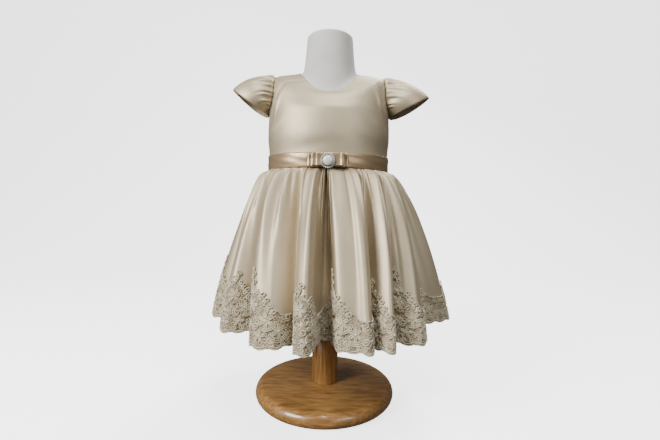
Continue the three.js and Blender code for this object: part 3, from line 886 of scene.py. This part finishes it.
for place_name, panel in panels.items():
    print("skirt panel:", make_skirt(place_name, panel).name)

# %% [markdown]
# The lace border repeats sixteen times round the hem, with a peak at each repeat. Real corded lace is a
# net with cords sewn along drawn lines, so each repeat is drawn as strokes in its own flat frame: x from
# the peak along the hem and y above it. Every stroke is then laid on the skirt through the panel.

# %% Lace drawing helpers
REPEATS = 8
LACE_VALLEY, NET_PEAK, LACE_PEAK, PEAK_HALF_WIDTH = 34, 67, 88, 36
LACE_SHIFT = 0.14
LOW_NET_DROP, LOW_TIP_DROP, PEAK_POWER = 5, 12, 1.1
LUMP_HEIGHT, LUMP_RATE, LUMP_PHASE = 1.3, 0.55, 0.8
SCALLOPS, SCALLOP_DEPTH, LACE_DROP = 5, 3, 2
REPEAT_WIDTH = sum(panel.hem_length for panel in panels.values()) / (2 * REPEATS)


def lace_top(x, tall):
    """Upper edge of the net: a pointed peak between low valleys, lumpy with leaves."""
    slope = np.clip(1 - np.abs(x) / PEAK_HALF_WIDTH, 0, 1)
    lumps = LUMP_HEIGHT * np.abs(np.sin(LUMP_RATE * x + LUMP_PHASE))
    rise = NET_PEAK - LACE_VALLEY - (0 if tall else LOW_NET_DROP)
    return LACE_VALLEY + rise * slope**PEAK_POWER + lumps


def lace_bottom(x):
    return LACE_DROP - SCALLOP_DEPTH * np.abs(np.sin(np.pi * SCALLOPS * x / REPEAT_WIDTH))


def arc(cx, cy, radius, start, end, steps, squeeze=1.0):
    turn = np.radians(np.linspace(start, end, steps))
    return np.stack([cx + radius * np.cos(turn), cy + squeeze * radius * np.sin(turn)], axis=1)


def scroll(cx, cy, radius, start, turns, steps=26):
    """Line that winds in toward its centre."""
    turn = np.radians(start) + np.linspace(0, math.tau * turns, steps)
    wind = np.linspace(1, 0.22, steps) * radius
    return np.stack([cx + wind * np.cos(turn), cy + wind * np.sin(turn)], axis=1)


def petal(cx, cy, length, width, turn, steps=11):
    """Closed drop that starts and ends at its root."""
    s = np.linspace(0, math.tau, steps)
    out = length * (1 - np.cos(s)) / 2
    side = width * np.sin(s) * (0.35 + 0.65 * (1 - np.cos(s)) / 2)
    c, n = math.cos(math.radians(turn)), math.sin(math.radians(turn))
    return np.stack([cx + out * c - side * n, cy + out * n + side * c], axis=1)


def mirrored(strokes):
    return strokes + [stroke * (-1, 1) for stroke in strokes]


print("lace repeat:", round(REPEAT_WIDTH, 1), "mm wide")

# %% [markdown]
# One repeat holds daisies with a bead in the middle, swags of three cords under them, scrolls, leaves on
# a stem up the peak, and a double cord along the scallops. Small curls of cord fill what is left, as the
# stitcher's vermicelli does. The daisies stand proud, and a few windows stay open between them.

# %% Lace repeat
Daisy = namedtuple("Daisy", "x y size petals")
Window = namedtuple("Window", "x y half_width half_height")
WINDOWS = [Window(2.9, 33, 2.4, 2.6), Window(20, 16, 2.6, 2.4), Window(40, 26, 2.4, 2.4)]
CURL_STEP, CURL_SHIFT, CURL_LOW, CURL_MARGIN = 4.6, 1.2, 5, 2.5


def daisies_of(tall):
    side = [Daisy(16, 30, 8.4, 6), Daisy(30, 19, 7.8, 6), Daisy(9, 13.5, 6.6, 5)]
    middle = [Daisy(0, 46, 7.8, 6)]
    if tall:
        middle.append(Daisy(0, 60, 5.2, 5))
    return middle + side + [daisy._replace(x=-daisy.x) for daisy in side]


def main_strokes(tall):
    half = REPEAT_WIDTH / 2
    strokes = []
    for radius in (10.0, 12.2, 14.4):
        strokes.append(arc(30, 20, radius, 205, 335, 18, 0.95))
    for radius in (9.8, 11.8):
        strokes.append(arc(16, 31, radius, 250, 350, 12))
    strokes.append(scroll(5.0, 24, 4.6, 100, 1.6))
    strokes.append(scroll(21, 9.5, 4.4, 60, -1.5))
    strokes.append(scroll(half - 5, 31, 4.2, 200, 1.5))
    strokes.append(scroll(24, 39, 3.6, 240, -1.4))
    strokes.append(scroll(half - 4, 12, 4.0, 20, 1.4))
    for y in range(38, 62, 6):
        x = np.interp(y, (38, 62), (21, 5))
        strokes.append(petal(x, y, 6.8, 2.5, 28))
        strokes.append(petal(x - 2.5, y + 2, 5.4, 2.2, 100))
    slope_x = np.linspace(1, half, 40)
    strokes.append(np.stack([slope_x, lace_top(slope_x, tall) - 0.6], axis=1))
    strokes = mirrored(strokes)
    tip = LACE_PEAK if tall else LACE_PEAK - LOW_TIP_DROP
    stem_y = np.linspace(NET_PEAK - 8, tip - 3, 16)
    strokes.append(np.stack([1.8 * np.sin(stem_y * 0.3), stem_y], axis=1))
    for i, y in enumerate(np.arange(NET_PEAK - 2, tip - 4, 4.6)):
        strokes.append(petal(0, y, 6.4 - 0.5 * i, 2.2, 32 if i % 2 else 148))
    strokes.append(petal(0, tip - 6, 5.8, 2.4, 84))
    low_x = np.linspace(-half, half, 91)
    for rise in (0.0, 2.0):
        strokes.append(np.stack([low_x, lace_bottom(low_x) + rise], axis=1))
    step = half / SCALLOPS
    for k in range(-SCALLOPS, SCALLOPS):
        strokes.append(petal((k + 0.5) * step, 2.6, 5.0, 2.0, 90 + 14 * (k % 3 - 1)))
    return strokes


def is_taken(x, y, daisies):
    by_daisy = any(math.hypot(x - daisy.x, y - daisy.y) < 0.9 * daisy.size for daisy in daisies)
    by_window = any(
        abs(abs(x) - window.x) < window.half_width + 1 and abs(y - window.y) < window.half_height + 1
        for window in WINDOWS
    )
    return by_daisy or by_window


def curl_strokes(tall, daisies, rng):
    """Short curls of cord dealt over the rest of the repeat."""
    strokes = []
    columns = round(REPEAT_WIDTH / CURL_STEP)
    for column in range(columns):
        x0 = (column + 0.5) * REPEAT_WIDTH / columns - REPEAT_WIDTH / 2
        for row in range(int(LACE_PEAK / CURL_STEP)):
            x = x0 + rng.uniform(-CURL_SHIFT, CURL_SHIFT)
            y = CURL_LOW + row * CURL_STEP + rng.uniform(-CURL_SHIFT, CURL_SHIFT)
            radius = rng.uniform(1.5, 2.5)
            start = rng.uniform(0, 360)
            sweep = rng.uniform(220, 400)
            if y < lace_top(x, tall) - CURL_MARGIN and not is_taken(x, y, daisies):
                strokes.append(arc(x, y, radius, start, start + sweep, 8, rng.uniform(0.7, 1.1)))
    return strokes


print("windows in a repeat:", 2 * len(WINDOWS))

# %% [markdown]
# The net is the ground of the lace. It lies just off the satin as a grid between the scalloped hem and
# the peaks, and its windows are the faces left out of the grid.

# %% Lace net
NET_COLUMNS, NET_ROWS = 44 * REPEATS, 30
NET_LIFT, NET_WALL = 0.75, 0.3
NET_INSET_LOW, NET_INSET_TOP = 0.3, 1.2


def is_tall(repeat):
    return repeat % 2 == 0


def repeat_of(along):
    """Nearest peak and the distance from it, at a share along a panel."""
    repeats = along * REPEATS - LACE_SHIFT
    peak = round(repeats)
    return peak, (repeats - peak) * REPEAT_WIDTH


def share_of(peak, x):
    """Share along a panel at a distance from a peak."""
    return (peak + LACE_SHIFT + x / REPEAT_WIDTH) / REPEATS


def make_net(place_name, panel):
    cut = (panel.hem_length * MM, LACE_PEAK * MM)

    def height_at(along, share):
        peak, x = repeat_of(along)
        low, high = lace_bottom(x) + NET_INSET_LOW, lace_top(x, is_tall(peak)) - NET_INSET_TOP
        return lerp(low, high, share)

    def point_at(column, row):
        along = column / NET_COLUMNS
        height = height_at(along, row / NET_ROWS)
        return panel.place(np.array(along), np.array(height), NET_LIFT)

    def keep(along, share):
        _, x = repeat_of(along)
        y = height_at(along, share)
        return not any(
            ((abs(x) - window.x) / window.half_width) ** 2 + ((y - window.y) / window.half_height) ** 2 < 1
            for window in WINDOWS
        )

    bm = grid_mesh(NET_COLUMNS, NET_ROWS, point_at, cut, keep=keep)
    name = f"lace_{place_name}"
    return thicken(add_object(f"{name}_net", mesh_from(bm, name), lace_net), NET_WALL)


print("net grid:", NET_COLUMNS, "by", NET_ROWS)

# %% [markdown]
# The cords are sewn on top of the net. All of them become one curve with a round bevel, turned to a mesh.
# The petals and beads are one small shape each, repeated as an array, because a stitcher also repeats them.

# %% Lace cords, petals and beads
CORD_RADIUS, CURL_RADIUS, CORD_LIFT = 0.85, 0.5, 1.3
PETAL_SIDES = 10
PETAL_LIFT, PETAL_CROWN = 0.9, 1.3
PETAL_LENGTH, PETAL_WIDTH, PETAL_OUT = 0.3, 0.2, 0.58
BEAD_RADIUS, BEAD_LIFT = 1.0, 1.9
PANEL_MARGIN = 0.0015


def inside_runs(along):
    """Stretches of a stroke that stay on the panel."""
    inside = (along >= PANEL_MARGIN) & (along <= 1 - PANEL_MARGIN)
    edges = np.flatnonzero(np.diff(np.concatenate([[0], inside.astype(int), [0]])))
    return [slice(a, b) for a, b in zip(edges[::2], edges[1::2]) if b - a > 2]


def cord_mesh(name, lines, radius):
    """Round cords along lines of points in millimetres."""
    curve = bpy.data.curves.new(name, "CURVE")
    curve.dimensions = "3D"
    curve.bevel_depth = radius * MM
    curve.bevel_resolution = 0
    curve.use_fill_caps = True
    for line in lines:
        spline = curve.splines.new("POLY")
        spline.points.add(len(line) - 1)
        spline.points.foreach_set("co", np.c_[line * MM, np.ones(len(line))].ravel())
    holder = bpy.data.objects.new(name, curve)
    mesh = bpy.data.meshes.new_from_object(holder)
    bpy.data.objects.remove(holder)
    bpy.data.curves.remove(curve)
    return mesh


def array_mesh(name, groups, faces):
    """One mesh of many small shapes that share their faces; groups holds each one's points."""
    count = len(groups[0])
    points = np.concatenate(groups) * MM
    every = [[k * count + corner for corner in face] for k in range(len(groups)) for face in faces]
    mesh = bpy.data.meshes.new(name)
    mesh.from_pydata(points.tolist(), [], every)
    mesh.validate()
    return mesh


def join_meshes(name, meshes):
    bm = bmesh.new()
    for mesh in meshes:
        bm.from_mesh(mesh)
        bpy.data.meshes.remove(mesh)
    return mesh_from(bm, name)


def petal_shapes(panel, peak, daisies):
    """Low domes for the petals of each daisy, laid on the skirt."""
    ring = np.radians(np.arange(PETAL_SIDES) * 360 / PETAL_SIDES)
    flat = np.concatenate([[[0, 0]], np.stack([np.cos(ring), np.sin(ring)], axis=1)])
    crown = np.concatenate([[PETAL_LIFT + PETAL_CROWN], np.full(PETAL_SIDES, PETAL_LIFT)])
    shapes = []
    for daisy in daisies:
        for k in range(daisy.petals):
            turn = math.tau * k / daisy.petals + 0.3 * daisy.x
            length, width = PETAL_LENGTH * daisy.size, PETAL_WIDTH * daisy.size
            out = PETAL_OUT * daisy.size + length * flat[:, 0]
            side = width * flat[:, 1]
            x = daisy.x + out * math.cos(turn) - side * math.sin(turn)
            y = daisy.y + out * math.sin(turn) + side * math.cos(turn)
            along = share_of(peak, x)
            if along.min() > 0 and along.max() < 1:
                shapes.append(panel.place(along, y, crown))
    return shapes


def bead_shapes(panel, peak, daisies, ball):
    shapes = []
    for daisy in daisies:
        along = share_of(peak, daisy.x)
        if 0 < along < 1:
            centre = panel.place(np.array(along), np.array(daisy.y), BEAD_LIFT)
            shapes.append(centre + ball)
    return shapes


def ball_template(radius):
    bm = bmesh.new()
    bmesh.ops.create_icosphere(bm, subdivisions=2, radius=radius)
    points = np.array([vert.co[:] for vert in bm.verts])
    faces = [[vert.index for vert in face.verts] for face in bm.faces]
    bm.free()
    return points, faces


def lay_strokes(panel, peak, strokes, lines):
    """Lays the strokes of a repeat on the panel and adds them to the lines."""
    for stroke in strokes:
        along = share_of(peak, stroke[:, 0])
        for run in inside_runs(along):
            lift = np.full(len(along[run]), CORD_LIFT)
            lines.append(panel.place(along[run], stroke[run, 1], lift))


print("cord radius", CORD_RADIUS, "mm, curl radius", CURL_RADIUS, "mm")

# %% [markdown]
# Each skirt panel now gets its border. The strokes, curls, petals and beads of its repeats are laid on the
# panel, with one repeat more at each end, and what runs past the side seams is left off. The net is the
# sheet, and the rest goes with it.

# %% Lace on the skirt
LACE_SEED = 70
PETAL_CORD, PETAL_TURN = 0.24, 17


def make_lace(place_name, panel, seed):
    rng = random.Random(seed)
    ball, ball_faces = ball_template(BEAD_RADIUS)
    lines, curls, petals, beads = [], [], [], []
    for peak in range(-1, REPEATS + 1):
        tall = is_tall(peak)
        daisies = daisies_of(tall)
        strokes = main_strokes(tall)
        for daisy in daisies:
            for k in range(daisy.petals):
                turn = 360 * k / daisy.petals + PETAL_TURN * daisy.x
                strokes.append(petal(daisy.x, daisy.y, daisy.size, PETAL_CORD * daisy.size, turn))
        lay_strokes(panel, peak, strokes, lines)
        lay_strokes(panel, peak, curl_strokes(tall, daisies, rng), curls)
        petals += petal_shapes(panel, peak, daisies)
        beads += bead_shapes(panel, peak, daisies, ball)
    petal_faces = [[0, 1 + k, 1 + (k + 1) % PETAL_SIDES] for k in range(PETAL_SIDES)]
    name = f"lace_{place_name}"
    cords = join_meshes(
        f"{name}_cords",
        [
            cord_mesh("cords", lines, CORD_RADIUS),
            cord_mesh("curls", curls, CURL_RADIUS),
            array_mesh("petals", petals, petal_faces),
        ],
    )
    net = make_net(place_name, panel)
    cord_piece = add_object(f"{name}_cords", cords, lace_cord)
    bead_piece = add_object(f"{name}_beads", array_mesh(f"{name}_beads", beads, ball_faces), pearl_nacre)
    stand_for(net, "lace", name)
    stand_for(cord_piece, "lace")
    stand_for(bead_piece, "pearl")
    print(name, "cords", len(lines) + len(curls), "petals", len(petals), "beads", len(beads))


for seed, (place_name, panel) in enumerate(panels.items()):
    make_lace(place_name, panel, LACE_SEED + seed)

# %% [markdown]
# The sash is a satin ribbon over the waist seam. It is a band on the waist's oval with slightly rolled
# edges and long shallow ripples. The bow is two flat closed loops, one on the other, pinched under the
# brooch, so each loop is a band that runs round on itself, narrows at the middle and rolls at its ends.

# %% Sash and bow
RIBBON_WALL = 0.8
SASH_LIFT, SASH_ROLL, SASH_RIPPLE = 1.9, 0.35, 0.28
SASH_COLUMNS, SASH_ROWS = 240, 14
BOW_COLUMNS, BOW_ROWS = 120, 14
BOW_PINCH, BOW_FULLNESS, BOW_GAP = 2.8, 3.2, 0.5
PINCH_WIDTH, PINCH_PLEAT, PINCH_NARROW = 8, 0.35, 0.12
ROLL_WIDTH, ROLL_GROOVE, GROOVE_WIDTH, BOW_TILT = 5.0, 1.1, 1.3, 3.0
LOOP_CUT, LOOP_SQUARE, LOOP_SWELL = 4.1, 0.75, 0.6
Loop = namedtuple("Loop", "name half low high")
BOW_LOOPS = [Loop("bow_under", 27.5, 338.6, 356.4), Loop("bow_upper", 21, 339.4, 356.8)]


def make_sash():
    def point_at(column, row):
        bearing = lerp(-centre_back, centre_back, column / SASH_COLUMNS)
        share = row / SASH_ROWS
        edge = abs(2 * share - 1)
        roll = -SASH_ROLL * edge**8
        ripple = SASH_RIPPLE * math.sin(9 * share + 0.05 * bearing) * math.sin(0.11 * bearing + 2 * share)
        reach = waist_reach(bearing) + SASH_LIFT + roll + ripple * (1 - edge**4)
        return polar(bearing, float(reach), lerp(SASH_LOW, SASH_HIGH, share))

    cut = (0.50, 0.02)
    bm = grid_mesh(SASH_COLUMNS, SASH_ROWS, point_at, cut)
    piece = thicken(add_object("sash", mesh_from(bm, "sash"), gold_ribbon), RIBBON_WALL)
    return stand_for(piece, "ribbon", "sash_ribbon")


def sash_front(x):
    half, front = WAIST.half + SASH_LIFT, WAIST.front + SASH_LIFT
    return front * math.sqrt(1 - (x / half) ** 2)


def loop_depth(loop, x):
    return BOW_PINCH + BOW_FULLNESS * min(1, (x / loop.half) ** 2)


def make_loop(loop, behind):
    def point_at(column, row):
        turn = math.tau * (column % BOW_COLUMNS) / BOW_COLUMNS
        ahead, swing = math.sin(turn), math.cos(turn)
        x = -loop.half * math.copysign(abs(swing) ** LOOP_SQUARE, swing)
        swell = math.copysign(abs(ahead) ** LOOP_SWELL, ahead)
        share = row / BOW_ROWS
        near = math.exp(-((x / PINCH_WIDTH) ** 2))
        depth = behind(x) + loop_depth(loop, x) * (1 + swell) / 2
        if swell > 0:
            groove = math.exp(-(((abs(x) - loop.half + ROLL_WIDTH) / GROOVE_WIDTH) ** 2))
            depth += PINCH_PLEAT * near * math.cos(5 * math.pi * share) - ROLL_GROOVE * groove
            depth += BOW_TILT * max(0, 0.5 - share) * (1 - near)
        middle, half_height = (loop.low + loop.high) / 2, (loop.high - loop.low) / 2
        height = middle + half_height * (2 * share - 1) * (1 - PINCH_NARROW * near)
        return Vector((x, -sash_front(x) - depth, height))

    cut = (LOOP_CUT * loop.half * MM, (loop.high - loop.low) * MM)
    bm = grid_mesh(BOW_COLUMNS, BOW_ROWS, point_at, cut, closed=True)
    piece = thicken(add_object(f"{loop.name}_loop", mesh_from(bm, loop.name), gold_ribbon), RIBBON_WALL)
    return stand_for(piece, "ribbon", loop.name)


sash = make_sash()
bow_under = make_loop(BOW_LOOPS[0], lambda x: BOW_GAP)
bow_upper = make_loop(BOW_LOOPS[1], lambda x: 2 * BOW_GAP + loop_depth(BOW_LOOPS[0], x))
print("ribbon:", sash.name, bow_under.name, bow_upper.name)

# %% [markdown]
# The brooch is a domed pearl in an oval ring of small cut stones. The setting is a bevelled oval plate,
# and one stone with two claws is repeated round it, all turned to face the front.

# %% Brooch
STONES = 22
STONE_RADIUS, STONE_TABLE, STONE_HEIGHT, STONE_SEAT, STONE_RING = 1.1, 0.55, 0.9, 0.5, 0.86
CLAW_RADIUS, CLAW_SPREAD, CLAW_RING = 0.32, 0.075, 0.9
RIM_SEGMENTS, RIM_BEVEL = 88, 0.4
PLATE_WIDTH, PLATE_DEPTH = 0.97, 0.6
PEARL_DEPTH, PEARL_SINK = 1.15, 0.3
Oval = namedtuple("Oval", "half_width half_height depth upright")


def brooch_oval():
    """Sizes of the setting, and the turn that stands it upright on the bow."""
    low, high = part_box("brooch_setting")
    middle = Matrix.Translation((0, high.y, (low.z + high.z) / 2))
    upright = middle @ Matrix.Rotation(math.pi / 2, 4, "X")
    return Oval((high.x - low.x) / 2, (high.z - low.z) / 2, high.y - low.y, upright)


def ring_point(oval, angle, scale):
    return scale * oval.half_width * math.cos(angle), scale * oval.half_height * math.sin(angle)


def stone_angle(k):
    return math.tau * (k + 0.5) / STONES


def make_setting(oval):
    bm = bmesh.new()
    bmesh.ops.create_circle(bm, cap_ends=True, segments=RIM_SEGMENTS, radius=1)
    for vert in bm.verts:
        vert.co = (vert.co.x * oval.half_width * PLATE_WIDTH, vert.co.y * oval.half_height * PLATE_WIDTH, 0)
    top = bmesh.ops.extrude_face_region(bm, geom=bm.faces[:])["geom"]
    raised = [item for item in top if isinstance(item, bmesh.types.BMVert)]
    bmesh.ops.translate(bm, verts=raised, vec=(0, 0, oval.depth * PLATE_DEPTH))
    rim = [edge for edge in bm.edges if all(vert in raised for vert in edge.verts)]
    bmesh.ops.bevel(
        bm, geom=rim, offset=RIM_BEVEL * MM, segments=2, profile=0.5, affect="EDGES", material=-1
    )
    bmesh.ops.recalc_face_normals(bm, faces=bm.faces)
    for k in range(STONES):
        gap = stone_angle(k) + math.pi / STONES
        for lean in (-CLAW_SPREAD, CLAW_SPREAD):
            x, y = ring_point(oval, gap + lean, CLAW_RING)
            place = Matrix.Translation((x, y, oval.depth))
            bmesh.ops.create_icosphere(bm, subdivisions=1, radius=CLAW_RADIUS * MM, matrix=place)
    bmesh.ops.transform(bm, matrix=oval.upright, verts=bm.verts)
    plate = add_object("brooch_setting_ring", mesh_from(bm, "brooch_setting_ring"), silver)
    return stand_for(plate, "silver", "brooch_setting")


def make_stones(oval):
    bm = bmesh.new()
    seat = oval.depth * PLATE_DEPTH + STONE_SEAT * MM
    for k in range(STONES):
        x, y = ring_point(oval, stone_angle(k), STONE_RING)
        bmesh.ops.create_cone(
            bm,
            cap_ends=True,
            segments=8,
            radius1=STONE_RADIUS * MM,
            radius2=STONE_RADIUS * STONE_TABLE * MM,
            depth=STONE_HEIGHT * MM,
            matrix=Matrix.Translation((x, y, seat)) @ Matrix.Rotation(stone_angle(k), 4, "Z"),
        )
    bmesh.ops.transform(bm, matrix=oval.upright, verts=bm.verts)
    stones = add_object("brooch_stones", mesh_from(bm, "brooch_stones"), crystal, smooth=False)
    return stand_for(stones, "silver")


def make_pearl():
    low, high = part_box("brooch_pearl")
    centre = (low + high) / 2
    radius = (high.x - low.x) / 2
    bm = bmesh.new()
    bmesh.ops.create_uvsphere(bm, u_segments=48, v_segments=28, radius=radius)
    bmesh.ops.scale(bm, vec=(1, (high.y - low.y) / (2 * radius) * PEARL_DEPTH, 1), verts=bm.verts)
    bmesh.ops.translate(bm, verts=bm.verts, vec=(0, centre.y + PEARL_SINK * MM, centre.z))
    return stand_for(add_object("pearl", mesh_from(bm, "pearl"), pearl_nacre), "pearl", "brooch_pearl")


oval = brooch_oval()
setting, stones, pearl = make_setting(oval), make_stones(oval), make_pearl()
print("brooch:", setting.name, stones.name, pearl.name)

# %% [markdown]
# A pale floor that curves up into a back wall shows no horizon. It glows a little, as a light table does,
# and is hidden from the rays that leave the cloth, so it stays white and the folds keep their depth.

# %% Stage
FLOOR_HALF, FLOOR_FRONT, FLOOR_RUN = 5.0, 3.0, 4.0
SWEEP_RADIUS, SWEEP_LENGTH = 1.2, 9.0
SWEEP_COLUMNS, SWEEP_ROWS = 8, 90
SWEEP_GLOW = 2.6


def make_sweep():
    """Floor that curves up into a back wall, so no horizon shows behind the gown."""

    def point_at(column, row):
        x = (2 * column / SWEEP_COLUMNS - 1) * FLOOR_HALF
        along = row / SWEEP_ROWS * SWEEP_LENGTH
        bend = min(max(along - FLOOR_RUN, 0) / SWEEP_RADIUS, math.pi / 2)
        rise = max(along - FLOOR_RUN - SWEEP_RADIUS * math.pi / 2, 0)
        flat = min(along, FLOOR_RUN)
        y = flat - FLOOR_FRONT + SWEEP_RADIUS * math.sin(bend)
        return Vector((x, y, SWEEP_RADIUS * (1 - math.cos(bend)) + rise)) / MM

    bm = grid_mesh(SWEEP_COLUMNS, SWEEP_ROWS, point_at, (1, 1))
    material, _ = new_material(
        "pale_sweep",
        Base_Color=(0.9, 0.9, 0.89, 1),
        Roughness=0.95,
        Emission_Color=(1, 1, 1, 1),
        Emission_Strength=SWEEP_GLOW,
    )
    sweep = add_object("sweep", mesh_from(bm, "sweep"), material)
    sweep.visible_diffuse = sweep.visible_glossy = False


make_sweep()
print("sweep:", 2 * FLOOR_HALF, "m wide")

# %% [markdown]
# The light is soft and comes from four broad lamps: a key from the left that models the folds, a weak
# fill, one from above that draws the gathers and one behind for the back. The camera stands close, a
# little above the middle of the gown, and looks slightly down.

# %% Lights and camera
AMBIENT, BACKDROP = 0.085, 3.0
CAMERA_PLACE = (0.00375, -0.580, 0.288)
CAMERA_DOWN, CAMERA_LEAN = 2.2, -1.0
CAMERA_LENS = 21.1
GOWN_MIDDLE = Vector((0, 0, 0.28))
Lamp = namedtuple("Lamp", "name place size power")
LAMPS = [
    Lamp("key", (-1.32, -1.08, 1.05), 0.8, 54),
    Lamp("fill", (0.95, -1.45, 0.9), 0.7, 8),
    Lamp("top", (0.1, -0.5, 1.6), 0.6, 15),
    Lamp("rear", (0.7, 1.1, 1.9), 0.9, 40),
]


def make_lamp(lamp):
    light = bpy.data.lights.new(lamp.name, "AREA")
    light.size = lamp.size
    light.energy = lamp.power
    holder = bpy.data.objects.new(lamp.name, light)
    holder.location = lamp.place
    holder.rotation_euler = (GOWN_MIDDLE - Vector(lamp.place)).to_track_quat("-Z", "Y").to_euler()
    bpy.context.scene.collection.objects.link(holder)


def make_camera():
    camera = bpy.data.cameras.new("camera")
    camera.lens = CAMERA_LENS
    camera.clip_start = 0.01
    holder = bpy.data.objects.new("camera", camera)
    holder.location = CAMERA_PLACE
    holder.rotation_euler = (math.radians(90 - CAMERA_DOWN), math.radians(CAMERA_LEAN), 0)
    bpy.context.scene.collection.objects.link(holder)
    bpy.context.scene.camera = holder


def make_world():
    """Soft light from all round, seen as a bright white backdrop."""
    world = bpy.data.worlds.new("studio")
    bpy.context.scene.world = world
    world.use_nodes = True
    nodes, links = world.node_tree.nodes, world.node_tree.links
    ambient = nodes["Background"]
    ambient.inputs["Color"].default_value = (1, 1, 1, 1)
    ambient.inputs["Strength"].default_value = AMBIENT
    backdrop = nodes.new("ShaderNodeBackground")
    backdrop.inputs["Color"].default_value = (1, 1, 1, 1)
    backdrop.inputs["Strength"].default_value = BACKDROP
    mix = nodes.new("ShaderNodeMixShader")
    path = nodes.new("ShaderNodeLightPath")
    links.new(path.outputs["Is Camera Ray"], mix.inputs["Fac"])
    links.new(ambient.outputs["Background"], mix.inputs[1])
    links.new(backdrop.outputs["Background"], mix.inputs[2])
    links.new(mix.outputs["Shader"], nodes["World Output"].inputs["Surface"])


for each in LAMPS:
    make_lamp(each)
make_camera()
make_world()
print("camera and", len(LAMPS), "lamps placed")
